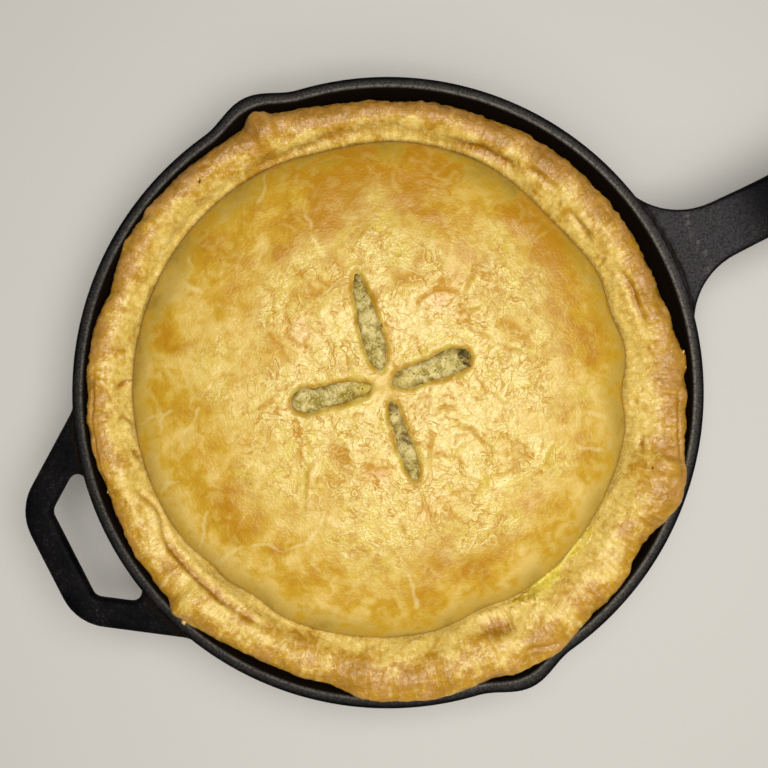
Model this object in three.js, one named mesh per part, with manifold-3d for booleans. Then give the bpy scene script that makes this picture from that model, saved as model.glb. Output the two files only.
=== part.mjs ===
// A chicken pot pie in the cast-iron skillet that it was baked in.
//
// Millimetres, +Z up. The origin is the centre of the skillet's flat underside.
// +X runs out along the long handle, the helper handle is at -X, and the two
// pour spouts are at +Y and -Y. Angles are degrees, anticlockwise from +X.
//
// Three pieces: the skillet, one iron casting; the filling, which lies in it
// from wall to wall and wells up into the vents; and the pastry crust, a domed
// lid with a rolled rim, cut through by four steam vents.

import * as THREE from 'three';
import { ParametricGeometry } from 'three/addons/geometries/ParametricGeometry.js';
import { mergeVertices } from 'three/addons/utils/BufferGeometryUtils.js';
import Module from 'manifold-3d';

const wasm = await Module();
wasm.setup();

// ---- Driving dimensions ----

const SIDES = 96; // straight sides that stand for one full turn
const GAP = 0.35; // clearance between pieces that lie against each other
const WELD = 0.001; // points closer than this are one point
const CURVE_STEPS = 5; // pieces along a curve of an outline, twice that on an arc
const DOME_STEPS = 8; // rings from the dome's middle to the valley
const ROLL_STEPS = 4; // rings on each side of the roll's crest
const LID_STEPS = 5; // rings on the lid's underside

// Skillet bowl
const RIM_RADIUS = 152.5;
const RIM_HEIGHT = 57;
const RIM_WALL = 4.3; // thickness of the wall at the rim
const RIM_EDGE = 0.8; // broken edge on both sides of the rim's flat top
const BASE_RADIUS = 127;
const BASE_EDGE = 1.5; // broken edge round the flat underside
const FLOOR = 5.2; // thickness of the floor
const WALL_CURVE = 0.85; // below 1, the wall is steeper towards the rim
const CORNER = 12; // radius, inside, between floor and wall

// Pour spouts
const SPOUT_TURNS = [90, -90];
const SPOUT_HALF_TURN = 9.5; // degrees from the middle of a spout to its end
const SPOUT_OUT = 5.8; // how far the rim's outer edge swings out
const SPOUT_IN = 4.8; // the same for its inner edge
const SPOUT_DEPTH = 24; // how far down the wall the spout fades out

// Both handles
const HANDLE_DROP = 1.5; // how far their tops lie below the rim
const HANDLE_BEVEL = 2.6; // rounding of their edges
const HANDLE_ROOT = 120; // how far in from the rim their stock starts

// Long handle
const GRIP_THICK = 10;
const GRIP_TILT = 5; // degrees that it rises towards its end
const GRIP_FILLET = 36; // concave radius where it leaves the rim
const GRIP_ROOT_HALF = 14; // half-width where the fillets end
const GRIP_WAIST_X = 210;
const GRIP_WAIST_HALF = 13.3;
const GRIP_WIDE_X = 262;
const GRIP_WIDE_HALF = 16.5;
const GRIP_END_X = 289;
const HANG_HOLE_X = 272; // middle of the hang hole's round end
const HANG_HOLE_RADIUS = 7;
const HANG_HOLE_TIP_X = 243; // its pointed end

// Helper handle
const HELPER_THICK = 8;
const HELPER_TURN = 1; // degrees that it stands off the long handle's line
const HELPER_END_X = 186; // outer face of its bar
const HELPER_HALF = 30.8; // half-length of the bar before its corners are rounded
const HELPER_SLOPE = 0.69; // how fast its sides widen towards the rim
const HELPER_CORNER = 26;
const HELPER_FILLET = 20; // concave radius where it meets the rim
const HELPER_BAR = 13.9; // width of the bar
const HELPER_HOLE_HALF = 23.2; // half-length of the hole, beside the bar
const HELPER_HOLE_CORNER = 5;

// Crust: domed lid
const DOME_HEIGHT = 73; // top of the dome above the table
const DOME_FLATNESS = 2.6; // higher is flatter on top
const DOME_STEEPNESS = 0.55; // lower is steeper at the edge
const LID_THICK = 5.5;
const LID_INSET = 12; // how far its underside's dome stays inside the valley
const VALLEY_HEIGHT = 53; // groove between the dome and the rolled rim
const VALLEY_RADIUS = 121;
const VALLEY_SHIFT = 3.9; // the dome sits this far off the skillet's middle
const VALLEY_SHIFT_TURN = 127;

// Places where the rolled rim leans in over the dome's edge, or leaves it free
const VALLEY_LOBES = [
  { at: 20, half: 14, out: -4 },
  { at: 78, half: 11, out: -2 },
  { at: 210, half: 6, out: -3 },
  { at: 267, half: 8, out: -3 },
  { at: 334, half: 6, out: -3.5 },
  { at: 354, half: 6, out: -3 },
];

// Crust: rolled rim
const EDGE_RADIUS = 145.5; // its outer edge, seen from above
const EDGE_HEIGHT = 54.5; // height of that edge
const ROLL_HEIGHT = 62; // top of the roll above the table
const ROLL_CREST = 0.6; // where the top is, from the valley (0) to the edge (1)
const ROLL_FOOT = 41; // height of the crust's lowest point, at the wall
const ROLL_CONTACT = 46; // height at which the roll first meets the wall
const ROLL_HEEL = 130; // radius of the foot's inner edge
const ROLL_WAVES = [
  { count: 7, phase: 40, rise: 0.9 },
  { count: 12, phase: 200, rise: 0.6 },
];

// Lobes where the roll swells out, or leaves the wall free
const EDGE_LOBES = [
  { at: 2, half: 27, out: -5.5 },
  { at: 54, half: 28, out: -4.5 },
  { at: 90, half: 4, out: 5 },
  { at: 133, half: 6, out: -2.5 },
  { at: 178, half: 10, out: -2 },
  { at: 205, half: 4, out: 2.5 },
  { at: 226, half: 20, out: -3.5 },
  { at: 252, half: 20, out: 4.2 },
  { at: 262, half: 6, out: -3.8 },
  { at: 305, half: 6, out: -3.5 },
  { at: 315, half: 7, out: 4.5 },
];

// Where a lobe hangs out over the iron, the roll lies on top of the rim
const OVERHANG_FROM = 146;
const OVERHANG_TO = 148.5;
const OVERHANG_RISE = 5.5;

// A flake of pastry that sticks out across the rim
const FLAKE_TURN = 201.6;
const FLAKE_FROM = 139;
const FLAKE_TO = 149.5;
const FLAKE_HALF_WIDTH = 2.6;
const FLAKE_THICK = 1;
const FLAKE_HEIGHT = 58.2;

// Steam vents, each a leaf-shaped slit. widest is where along it the slit is
// widest, from its inner end (0) to its outer end (1).
const VENTS = [
  { inner: [1.5, 10.6], outer: [10.9, 57], width: 9.8, widest: 0.4 },
  { inner: [3.4, 2.9], outer: [42.9, -2.4], width: 13, widest: 0.6 },
  { inner: [-4.9, 6], outer: [-42.7, 15.2], width: 11, widest: 0.52 },
  { inner: [-0.9, -3.8], outer: [-6, -42.8], width: 7.2, widest: 0.55 },
];
const VENT_STEPS = 7; // straight pieces along each side of a vent
const VENT_FULLNESS = 0.5; // below 1, the slit's ends are blunter
const VENT_FLOOR = 60; // the filling's ridges start inside the body here
const FILLING_BELOW_TOP = 1.8; // the filling in a vent lies this far down

// ---- Small helpers ----

const { degToRad, radToDeg, smoothstep } = THREE.MathUtils;

function degreesBetween(a, b) {
  return Math.abs(THREE.MathUtils.euclideanModulo(a - b + 180, 360) - 180);
}

function turnOf(x, y) {
  return radToDeg(Math.atan2(y, x));
}

// Sum of soft bumps that stand round a circle
function lobesAt(lobes, turn) {
  return lobes.reduce((sum, lobe) => {
    const away = degreesBetween(turn, lobe.at) / lobe.half;
    return sum + lobe.out * Math.exp(-away * away);
  }, 0);
}

// A closed surface as a solid: its points welded, and empty triangles dropped
function solid(geometry) {
  const bare = geometry.index ? geometry.toNonIndexed() : geometry.clone();
  bare.deleteAttribute('normal');
  bare.deleteAttribute('uv');
  const welded = mergeVertices(bare, WELD);
  const corners = welded.getIndex().array;
  const triangles = [];
  for (let i = 0; i < corners.length; i += 3) {
    const [a, b, c] = [corners[i], corners[i + 1], corners[i + 2]];
    if (a !== b && b !== c && c !== a) triangles.push(a, b, c);
  }
  return new wasm.Manifold(new wasm.Mesh({
    numProp: 3,
    vertProperties: new Float32Array(welded.getAttribute('position').array),
    triVerts: new Uint32Array(triangles),
  }));
}

// A solid's surface as triangles
function surface(body) {
  const mesh = body.getMesh();
  const geometry = new THREE.BufferGeometry();
  geometry.setAttribute('position', new THREE.BufferAttribute(mesh.vertProperties, 3));
  geometry.setIndex(new THREE.BufferAttribute(mesh.triVerts, 1));
  geometry.computeVertexNormals();
  return geometry;
}

function piece(name, body, colour, roughness, metalness) {
  const material = new THREE.MeshStandardMaterial({ color: colour, roughness, metalness });
  const mesh = new THREE.Mesh(surface(body), material);
  mesh.name = name;
  return mesh;
}

// A profile of [radius, height] points turned round the Z axis
function turned(profile, sides) {
  const points = profile.map(([radius, height]) => new THREE.Vector2(radius, height));
  return new THREE.LatheGeometry(points, sides).rotateX(Math.PI / 2);
}

// ---- Skillet bowl ----

function outerWall(height) {
  const rise = height / RIM_HEIGHT;
  return BASE_RADIUS + (RIM_RADIUS - BASE_RADIUS) * rise ** WALL_CURVE;
}

function innerWall(height) {
  return outerWall(height) - RIM_WALL;
}

function wallPoints(radiusAt, low, high, steps) {
  return Array.from({ length: steps + 1 }, (_, i) => {
    const height = THREE.MathUtils.lerp(low, high, i / steps);
    return [radiusAt(height), height];
  });
}

// Floor and wall of the bowl's hollow, drawn in by a clearance
function hollowPoints(clearance, top, steps) {
  const wall = (height) => innerWall(height) - clearance;
  const floor = FLOOR + clearance;
  const bend = new THREE.QuadraticBezierCurve(
    new THREE.Vector2(wall(floor) - CORNER, floor),
    new THREE.Vector2(wall(floor), floor),
    new THREE.Vector2(wall(floor + CORNER), floor + CORNER),
  );
  const corner = bend.getPoints(3).map((point) => [point.x, point.y]);
  return [[0, floor], ...corner, ...wallPoints(wall, floor + CORNER, top, steps).slice(1)];
}

// Swings the wall out at the two spouts, most at the rim
function withSpouts(geometry, out) {
  const position = geometry.getAttribute('position');
  for (let i = 0; i < position.count; i += 1) {
    const [x, y, z] = [position.getX(i), position.getY(i), position.getZ(i)];
    const radius = Math.hypot(x, y);
    const nearest = Math.min(...SPOUT_TURNS.map((at) => degreesBetween(turnOf(x, y), at)));
    const share = Math.min(nearest / SPOUT_HALF_TURN, 1);
    const bump = (1 + Math.cos(Math.PI * share)) / 2;
    const fade = smoothstep(z, RIM_HEIGHT - SPOUT_DEPTH, RIM_HEIGHT);
    const onWall = radius > BASE_RADIUS ? 1 : 0;
    const scale = radius > 0 ? 1 + (out * bump * fade * onWall) / radius : 1;
    position.setXYZ(i, x * scale, y * scale, z);
  }
  return geometry;
}

function bowlBody() {
  const profile = [
    [0, 0],
    [BASE_RADIUS - BASE_EDGE, 0],
    ...wallPoints(outerWall, BASE_EDGE, RIM_HEIGHT - RIM_EDGE, 5),
    [RIM_RADIUS - RIM_EDGE, RIM_HEIGHT],
    [0, RIM_HEIGHT],
  ];
  return solid(withSpouts(turned(profile, SIDES), SPOUT_OUT));
}

function bowlHollow() {
  const above = RIM_HEIGHT + SPOUT_DEPTH;
  const lip = innerWall(RIM_HEIGHT) + RIM_EDGE;
  const profile = [
    ...hollowPoints(0, RIM_HEIGHT - RIM_EDGE, 4),
    [lip, RIM_HEIGHT],
    [lip, above],
    [0, above],
  ];
  return solid(withSpouts(turned(profile, SIDES), SPOUT_IN));
}

// ---- Handles ----

// An outline that is alike on both sides of the X axis, from its +Y half
function mirrored(half) {
  const above = half.getPoints(CURVE_STEPS);
  const below = above.map((point) => new THREE.Vector2(point.x, -point.y));
  return [...below, ...above.filter((point) => point.y > WELD).reverse()];
}

// A flat outline with rounded edges, its top face HANDLE_DROP below the rim
function plate(outline, hole, thickness) {
  const shape = new THREE.Shape(mirrored(outline));
  shape.holes.push(new THREE.Path(mirrored(hole)));
  const geometry = new THREE.ExtrudeGeometry(shape, {
    depth: thickness - 2 * HANDLE_BEVEL,
    bevelThickness: HANDLE_BEVEL,
    bevelSize: HANDLE_BEVEL,
    bevelOffset: -HANDLE_BEVEL,
    bevelSegments: 2,
  });
  return geometry.translate(0, 0, RIM_HEIGHT - HANDLE_DROP - thickness + HANDLE_BEVEL);
}

// Starts a handle's half outline at its hidden root, and takes it along the
// concave fillet that leaves the rim, from its tangent point on the rim
function rootPath(centre, radius, endAngle) {
  const lean = Math.atan2(centre.y, centre.x);
  const path = new THREE.Path();
  path.moveTo(HANDLE_ROOT, RIM_RADIUS * Math.sin(lean));
  path.lineTo(RIM_RADIUS * Math.cos(lean), RIM_RADIUS * Math.sin(lean));
  path.absarc(centre.x, centre.y, radius, lean - Math.PI, endAngle, false);
  return path;
}

function longHandle() {
  const filletY = GRIP_ROOT_HALF + GRIP_FILLET;
  const filletX = Math.sqrt((RIM_RADIUS + GRIP_FILLET) ** 2 - filletY ** 2);
  const outline = rootPath(new THREE.Vector2(filletX, filletY), GRIP_FILLET, -Math.PI / 2);
  outline.bezierCurveTo(
    GRIP_WAIST_X, GRIP_WAIST_HALF,
    GRIP_WAIST_X, GRIP_WAIST_HALF,
    GRIP_WIDE_X, GRIP_WIDE_HALF,
  );
  outline.bezierCurveTo(
    GRIP_END_X, GRIP_WIDE_HALF,
    GRIP_END_X, GRIP_WIDE_HALF / 2,
    GRIP_END_X, 0,
  );
  const taper = Math.asin(HANG_HOLE_RADIUS / (HANG_HOLE_X - HANG_HOLE_TIP_X));
  const hole = new THREE.Path();
  hole.moveTo(HANG_HOLE_TIP_X, 0);
  hole.lineTo(
    HANG_HOLE_X - HANG_HOLE_RADIUS * Math.sin(taper),
    HANG_HOLE_RADIUS * Math.cos(taper),
  );
  hole.absarc(HANG_HOLE_X, 0, HANG_HOLE_RADIUS, Math.PI / 2 + taper, 0, true);
  const middle = RIM_HEIGHT - HANDLE_DROP - GRIP_THICK / 2;
  return solid(
    plate(outline, hole, GRIP_THICK)
      .translate(-RIM_RADIUS, 0, -middle)
      .rotateY(degToRad(-GRIP_TILT))
      .translate(RIM_RADIUS, 0, middle),
  );
}

// Drawn towards +X and then turned into place. lean is the slant of its sides,
// and the line of a side is y = reach - HELPER_SLOPE * x.
function helperHandle() {
  const lean = Math.atan(HELPER_SLOPE);
  const cosLean = Math.cos(lean);
  const facing = Math.PI / 2 - lean; // direction that a side faces

  const reach = HELPER_HALF + HELPER_SLOPE * HELPER_END_X;
  const filletOut = RIM_RADIUS + HELPER_FILLET;
  const filletTurn = Math.asin((HELPER_FILLET + reach * cosLean) / filletOut) - lean;
  const centre = new THREE.Vector2(Math.cos(filletTurn), Math.sin(filletTurn));
  const outline = rootPath(centre.multiplyScalar(filletOut), HELPER_FILLET, facing - Math.PI);
  const cornerX = HELPER_END_X - HELPER_CORNER;
  const cornerY = reach - HELPER_SLOPE * cornerX - HELPER_CORNER / cosLean;
  outline.absarc(cornerX, cornerY, HELPER_CORNER, facing, 0, true);

  const near = HELPER_END_X - HELPER_BAR;
  const holeReach = HELPER_HOLE_HALF + HELPER_SLOPE * near;
  const holeX = near - HELPER_HOLE_CORNER;
  const holeY = holeReach - HELPER_SLOPE * holeX - HELPER_HOLE_CORNER / cosLean;
  const hole = new THREE.Path();
  hole.absarc(holeX, holeY, HELPER_HOLE_CORNER, 0, facing, false);
  // The far corner is rounded between the side and the bowl's rim
  const farOut = RIM_RADIUS + HELPER_HOLE_CORNER;
  const farTurn = Math.asin((holeReach * cosLean - HELPER_HOLE_CORNER) / farOut) - lean;
  const farX = farOut * Math.cos(farTurn);
  const farY = farOut * Math.sin(farTurn);
  hole.absarc(farX, farY, HELPER_HOLE_CORNER, facing, farTurn + Math.PI, false);
  hole.lineTo(innerWall(RIM_HEIGHT) - HELPER_HOLE_CORNER, RIM_RADIUS * Math.sin(farTurn));

  return solid(plate(outline, hole, HELPER_THICK).rotateZ(Math.PI + degToRad(HELPER_TURN)));
}

// ---- Crust ----

function valleyRadius(turn) {
  const shift = VALLEY_SHIFT * Math.cos(degToRad(turn - VALLEY_SHIFT_TURN));
  return VALLEY_RADIUS + shift + lobesAt(VALLEY_LOBES, turn);
}

function edgeRadius(turn) {
  return EDGE_RADIUS + lobesAt(EDGE_LOBES, turn);
}

// A flattened dome of the given height, share of the way out from its middle
function domeRise(height, share) {
  return height * (1 - share ** DOME_FLATNESS) ** DOME_STEEPNESS;
}

// Shares from 0 to 1 that crowd together towards 1
function crowded(steps) {
  return Array.from({ length: steps + 1 }, (_, i) => Math.sin((Math.PI / 2) * (i / steps)));
}

function domeTop(turn) {
  return crowded(DOME_STEPS).map((share) => [
    share * valleyRadius(turn),
    VALLEY_HEIGHT + domeRise(DOME_HEIGHT - VALLEY_HEIGHT, share),
  ]);
}

// The roll: up from the valley to its crest, over, and down to its outer edge
function rollTop(turn) {
  const inner = valleyRadius(turn);
  const outer = edgeRadius(turn);
  const lift = OVERHANG_RISE * smoothstep(outer, OVERHANG_FROM, OVERHANG_TO);
  const wave = ROLL_WAVES.reduce(
    (sum, { count, phase, rise }) => sum + rise * Math.sin(degToRad(count * turn + phase)),
    0,
  );
  const crest = ROLL_HEIGHT + wave + lift / 2;
  const edge = EDGE_HEIGHT + lift;
  const radiusAt = (share) => THREE.MathUtils.lerp(inner, outer, share);
  const up = crowded(ROLL_STEPS).slice(1).map((share) => [
    radiusAt(ROLL_CREST * share),
    THREE.MathUtils.lerp(VALLEY_HEIGHT, crest, Math.sin((Math.PI / 2) * share)),
  ]);
  const over = crowded(ROLL_STEPS).slice(1).map((share) => [
    radiusAt(THREE.MathUtils.lerp(ROLL_CREST, 1, share)),
    THREE.MathUtils.lerp(edge, crest, Math.sqrt(1 - share * share)),
  ]);
  return [...up, ...over];
}

// From the roll's outer edge in under it, to the wall and down to the foot
function rollSide(turn) {
  const [[edge, height]] = rollTop(turn).slice(-1);
  const hollow = innerWall(RIM_HEIGHT) - RIM_EDGE;
  return [
    [Math.min(edge - 1, hollow), height - 3],
    [innerWall(ROLL_CONTACT) - GAP, ROLL_CONTACT],
    [innerWall(ROLL_FOOT) - GAP, ROLL_FOOT],
  ];
}

// Underside of the crust, from the foot in to the middle, lowered by a clearance
function underside(clearance) {
  const edge = VALLEY_HEIGHT - LID_THICK - 1;
  const foot = [ROLL_HEEL, ROLL_FOOT + LID_THICK / 4 - clearance];
  const rise = DOME_HEIGHT - LID_THICK - edge;
  const lid = crowded(LID_STEPS).reverse().map((share) => [
    share * (VALLEY_RADIUS - LID_INSET),
    edge + domeRise(rise, share) - clearance,
  ]);
  return [foot, ...lid];
}

function crustSection(turn) {
  return [...domeTop(turn), ...rollTop(turn), ...rollSide(turn), ...underside(0)];
}

// A closed body whose section, a list of [radius, height], changes with the turn
function swept(sectionAt) {
  const last = sectionAt(0).length - 1;
  const sections = Array.from({ length: SIDES }, (_, i) => sectionAt((360 * i) / SIDES));
  // Sections run from the top down, so they turn clockwise to face outwards
  const place = (u, v, target) => {
    const side = Math.round((1 - u) * SIDES) % SIDES;
    const [radius, height] = sections[side][Math.round(v * last)];
    const turn = (2 * Math.PI * side) / SIDES;
    target.set(radius * Math.cos(turn), radius * Math.sin(turn), height);
  };
  return solid(new ParametricGeometry(place, SIDES, last));
}

function flake() {
  const tab = new THREE.Shape([
    new THREE.Vector2(FLAKE_FROM, -FLAKE_HALF_WIDTH),
    new THREE.Vector2(FLAKE_TO, 0),
    new THREE.Vector2(FLAKE_FROM, FLAKE_HALF_WIDTH),
  ]);
  const geometry = new THREE.ExtrudeGeometry(tab, { depth: FLAKE_THICK, bevelEnabled: false });
  return solid(geometry.translate(0, 0, FLAKE_HEIGHT).rotateZ(degToRad(FLAKE_TURN)));
}

// ---- Steam vents ----

// An upright prism of a vent's leaf shape, drawn in all round by a clearance
function ventPrism({ inner, outer, width, widest }, clearance) {
  const from = new THREE.Vector2(...inner);
  const along = new THREE.Vector2(...outer).sub(from);
  const length = along.length();
  along.divideScalar(length);
  const across = new THREE.Vector2(-along.y, along.x);
  const skew = Math.log(0.5) / Math.log(widest);
  const side = (sign) => Array.from({ length: VENT_STEPS + 1 }, (_, i) => {
    const share = (1 - Math.cos((Math.PI * i) / VENT_STEPS)) / 2;
    const full = Math.sin(Math.PI * Math.min(share ** skew, 1)) ** VENT_FULLNESS;
    const half = i === VENT_STEPS ? 0 : (width / 2 - clearance) * full;
    const way = THREE.MathUtils.lerp(clearance, length - clearance, share);
    return from.clone().addScaledVector(along, way).addScaledVector(across, sign * half);
  });
  const outline = new THREE.Shape([...side(-1), ...side(1).slice(1, -1).reverse()]);
  const geometry = new THREE.ExtrudeGeometry(outline, {
    depth: DOME_HEIGHT - VENT_FLOOR + 1,
    bevelEnabled: false,
  });
  return solid(geometry.translate(0, 0, VENT_FLOOR));
}

// The space under the dome's surface that the filling may well up into
function ventCap() {
  return swept((turn) => {
    const top = domeTop(turn).slice(0, -2);
    const [[rim]] = top.slice(-1);
    return [...top.map(([r, z]) => [r, z - FILLING_BELOW_TOP]), [rim, 0], [0, 0]];
  });
}

// ---- The three pieces ----

function skillet() {
  return bowlBody().add(longHandle()).add(helperHandle()).subtract(bowlHollow());
}

function crust() {
  const whole = swept(crustSection).add(flake());
  return VENTS.reduce((body, vent) => body.subtract(ventPrism(vent, 0)), whole);
}

function filling() {
  const profile = [...hollowPoints(GAP, ROLL_FOOT - 2 * GAP, 3), ...underside(2 * GAP)];
  const cap = ventCap();
  return VENTS.reduce(
    (body, vent) => body.add(ventPrism(vent, 1.5 * GAP).intersect(cap)),
    solid(turned(profile, SIDES / 2)),
  );
}

const group = new THREE.Group();
group.add(piece('skillet', skillet(), '#1f1f22', 0.55, 0.6));
group.add(piece('filling', filling(), '#b3a765', 0.6, 0));
group.add(piece('crust', crust(), '#d9ae4e', 0.45, 0));

export default group;
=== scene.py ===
import bpy
import numpy as np
from mathutils import Euler, Matrix, Vector, noise
from mathutils.bvhtree import BVHTree

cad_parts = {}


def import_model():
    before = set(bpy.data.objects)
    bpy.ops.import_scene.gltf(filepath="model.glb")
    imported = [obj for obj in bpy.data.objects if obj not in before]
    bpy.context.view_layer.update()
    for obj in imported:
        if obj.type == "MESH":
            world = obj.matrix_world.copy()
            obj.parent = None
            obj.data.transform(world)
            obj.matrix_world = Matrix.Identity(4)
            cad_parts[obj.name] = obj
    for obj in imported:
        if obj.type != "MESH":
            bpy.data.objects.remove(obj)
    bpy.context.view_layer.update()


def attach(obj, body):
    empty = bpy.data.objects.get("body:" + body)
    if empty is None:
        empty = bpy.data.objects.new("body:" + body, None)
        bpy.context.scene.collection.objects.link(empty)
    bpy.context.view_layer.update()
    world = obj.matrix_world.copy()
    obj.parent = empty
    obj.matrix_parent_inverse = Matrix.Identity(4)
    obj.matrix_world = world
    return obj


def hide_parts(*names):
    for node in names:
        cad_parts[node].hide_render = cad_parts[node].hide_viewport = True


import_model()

# A chicken pot pie, served in the cast-iron skillet that it was baked in.
#
# Forms are worked out in millimetres and degrees, in the model's frame: the
# middle of the skillet's underside is the origin, +X runs out along the long
# handle, and angles are anticlockwise from +X. Meshes are made in metres.

MM = 0.001


# ---- Forms shared with the solids ----

RIM_RADIUS, RIM_HEIGHT, RIM_WALL = 152.5, 57, 5
BASE_RADIUS, FLOOR, WALL_CURVE, CORNER = 127, 5.2, 0.85, 12
SPOUT_TURNS, SPOUT_HALF_TURN, SPOUT_DEPTH = (90, -90), 9.5, 24
SPOUT_OUT, SPOUT_IN = 5.8, 4.8
GAP = 0.35  # room between pieces that lie against each other

DOME_HEIGHT, DOME_FLATNESS, DOME_STEEPNESS = 73, 2.6, 0.55
LID_THICK, LID_INSET = 5.5, 12
VALLEY_HEIGHT, VALLEY_RADIUS, VALLEY_SHIFT, VALLEY_SHIFT_TURN = 53, 121, 3.9, 127
# Lobes are (turn, half-width in degrees, how far out)
VALLEY_LOBES = (
    (20, 14, -4), (78, 11, -2), (210, 6, -3), (267, 8, -3), (334, 6, -3.5), (354, 6, -3),
)
EDGE_RADIUS, EDGE_HEIGHT, ROLL_HEIGHT, ROLL_CREST = 145.5, 54.5, 62, 0.6
EDGE_LOBES = (
    (2, 27, -5.5), (54, 28, -4.5), (90, 4, 5), (133, 6, -2.5), (178, 10, -2), (205, 4, 2.5),
    (226, 20, -3.5), (252, 20, 4.2), (262, 6, -3.8), (305, 6, -3.5), (315, 7, 4.5),
)
# Small unevenness that the solids leave out
VALLEY_SWELLS = ((198, 5, -2.2),)
EDGE_SWELLS = (
    (36, 3, 1.2), (56, 3, 1.2), (92, 2.5, -2), (116, 3, 1.5), (200, 2.5, 2.5), (238, 5, 1.8),
    (261, 3, 1), (273, 13, 2.4), (307, 4, 2.8), (340, 3, 2.6), (333, 2, 1),
    (181, 6, 1.1), (214, 4, 1.2), (227, 4, 1.6), (10, 8, 1.1), (124, 3, 1.2), (190, 8, 0.7),
)
# Where the roll has crumbled over the joint, the joint's painted shade is weaker
CRUMBLED_OVER = ((270, 11, 0.85),)  # where the roll has crumbled over its joint with the lid
FAR_TURN = 55  # towards here the crust took the most colour
ROLL_FOOT, ROLL_CONTACT, ROLL_HEEL = 41, 46, 130
ROLL_WAVES = ((7, 40, 0.9), (12, 200, 0.6))  # waves round the rim, phase, rise
OVERHANG_FROM, OVERHANG_TO, OVERHANG_RISE = 146, 148.5, 5.5
FILLING_BELOW_TOP = 1.5

# Steam vents: inner end, outer end, and widths along it as (share, width)
VENTS = (
    ((1.5, 10.6), (10.9, 57),
     ((0, 3), (0.1, 8.2), (0.27, 9.8), (0.5, 8.8), (0.7, 7), (0.87, 5.4), (1, 3))),
    ((3.4, 2.9), (42.6, -0.9),
     ((0, 4), (0.12, 8.8), (0.3, 9), (0.45, 9.6), (0.7, 12.6), (0.9, 10.6), (1, 6))),
    ((-4.9, 6), (-42.7, 15.2),
     ((0, 3), (0.1, 6.4), (0.45, 10.2), (0.64, 9.2), (0.84, 12.2), (1, 8))),
    ((-0.9, -3.8), (-6, -42.8),
     ((0, 3), (0.12, 5.4), (0.33, 5), (0.56, 7.6), (0.8, 6.4), (1, 3.4))),
)


def smooth(value, low, high):
    """0 below low, 1 above high, and a soft step between them."""
    share = np.clip((value - low) / (high - low), 0, 1)
    return share * share * (3 - 2 * share)


def mix(a, b, share):
    return a + (b - a) * share


def degrees_between(a, b):
    return np.abs((np.asarray(a) - b + 180) % 360 - 180)


def lobes_at(lobes, turn):
    return sum(out * np.exp(-((degrees_between(turn, at) / half) ** 2)) for at, half, out in lobes)


def turn_of(x, y):
    return np.degrees(np.arctan2(y, x)) % 360


def at(turn, radius):
    """The x and y of a place given by its turn and its distance from the middle."""
    return radius * np.cos(np.radians(turn)), radius * np.sin(np.radians(turn))


def valley_radius(turn):
    shift = VALLEY_SHIFT * np.cos(np.radians(turn - VALLEY_SHIFT_TURN))
    return VALLEY_RADIUS + shift + lobes_at(VALLEY_LOBES, turn) + lobes_at(VALLEY_SWELLS, turn)


def edge_radius(turn):
    return EDGE_RADIUS + lobes_at(EDGE_LOBES, turn) + lobes_at(EDGE_SWELLS, turn)


def far_side(turn):
    """1 on the side that took the most colour, 0 on the near side."""
    return (1 + np.cos(np.radians(turn - FAR_TURN))) / 2


def joint_shade_share(turn):
    """How strong the painted shade in the joint of lid and roll is: 1, and less
    where the roll has crumbled over it."""
    return 1 - lobes_at(CRUMBLED_OVER, turn)


def dome_rise(height, share):
    share = np.clip(share, 0, 1)
    return height * (1 - share**DOME_FLATNESS) ** DOME_STEEPNESS


def dome_height(x, y):
    share = np.hypot(x, y) / valley_radius(turn_of(x, y))
    return VALLEY_HEIGHT + dome_rise(DOME_HEIGHT - VALLEY_HEIGHT, share)


def under_lid(x, y):
    """The height of the lid's plain underside."""
    radius = np.hypot(x, y)
    reach = VALLEY_RADIUS - LID_INSET
    edge = VALLEY_HEIGHT - LID_THICK - 1
    fall = np.clip(radius - reach, 0, None) / (ROLL_HEEL - reach)
    foot = ROLL_FOOT + LID_THICK / 4
    dome = edge + dome_rise(DOME_HEIGHT - LID_THICK - edge, radius / reach)
    return np.where(radius < reach, dome, mix(edge, foot, fall))


def outer_wall(height):
    return BASE_RADIUS + (RIM_RADIUS - BASE_RADIUS) * (height / RIM_HEIGHT) ** WALL_CURVE


def inner_wall(height):
    return outer_wall(height) - RIM_WALL


def spout_swing(turn, height, out):
    """How far a spout swings the wall out here."""
    nearest = np.minimum(*(degrees_between(turn, spout) for spout in SPOUT_TURNS))
    bump = (1 + np.cos(np.pi * np.clip(nearest / SPOUT_HALF_TURN, 0, 1))) / 2
    return out * bump * smooth(height, RIM_HEIGHT - SPOUT_DEPTH, RIM_HEIGHT)


# ---- Small tools ----


def lumps(x, y, z, size, seed, octaves=2):
    """Uneven relief, about -1 to 1, with lumps of the given size in millimetres."""
    places = zip(np.ravel(x) / size, np.ravel(y) / size, np.ravel(z) / size + seed)
    found = [noise.fractal(place, 1.0, 2.0, octaves) for place in places]
    return np.array(found).reshape(np.shape(x))


def uneven(x, y, z, rows):
    """Relief from lumps of several sizes. A row is their size, their seed and
    how high they are, in millimetres."""
    return sum(high * lumps(x, y, z, size, seed) for size, seed, high in rows)


def distance_to(line, x, y):
    """For each point, its distance to a line, the share of the way along the
    line, the nearest place on it, and the side it is on, 1 for the left."""
    line = np.asarray(line, float)
    start, step = line[:-1], np.diff(line, axis=0)
    length = np.hypot(*step.T)
    before = np.concatenate([[0], np.cumsum(length)[:-1]])
    point = np.stack([np.ravel(x), np.ravel(y)], 1)[:, None]
    share = np.clip(((point - start) * step).sum(-1) / length**2, 0, 1)
    nearest = start + share[..., None] * step
    away = np.linalg.norm(point - nearest, axis=-1)
    pick = away.argmin(1)
    row = np.arange(len(pick))
    off = point[:, 0] - start[pick]
    side = np.sign(step[pick, 0] * off[:, 1] - step[pick, 1] * off[:, 0])
    along = (before[pick] + share[row, pick] * length[pick]) / length.sum()
    return away[row, pick], along, nearest[row, pick], side


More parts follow.
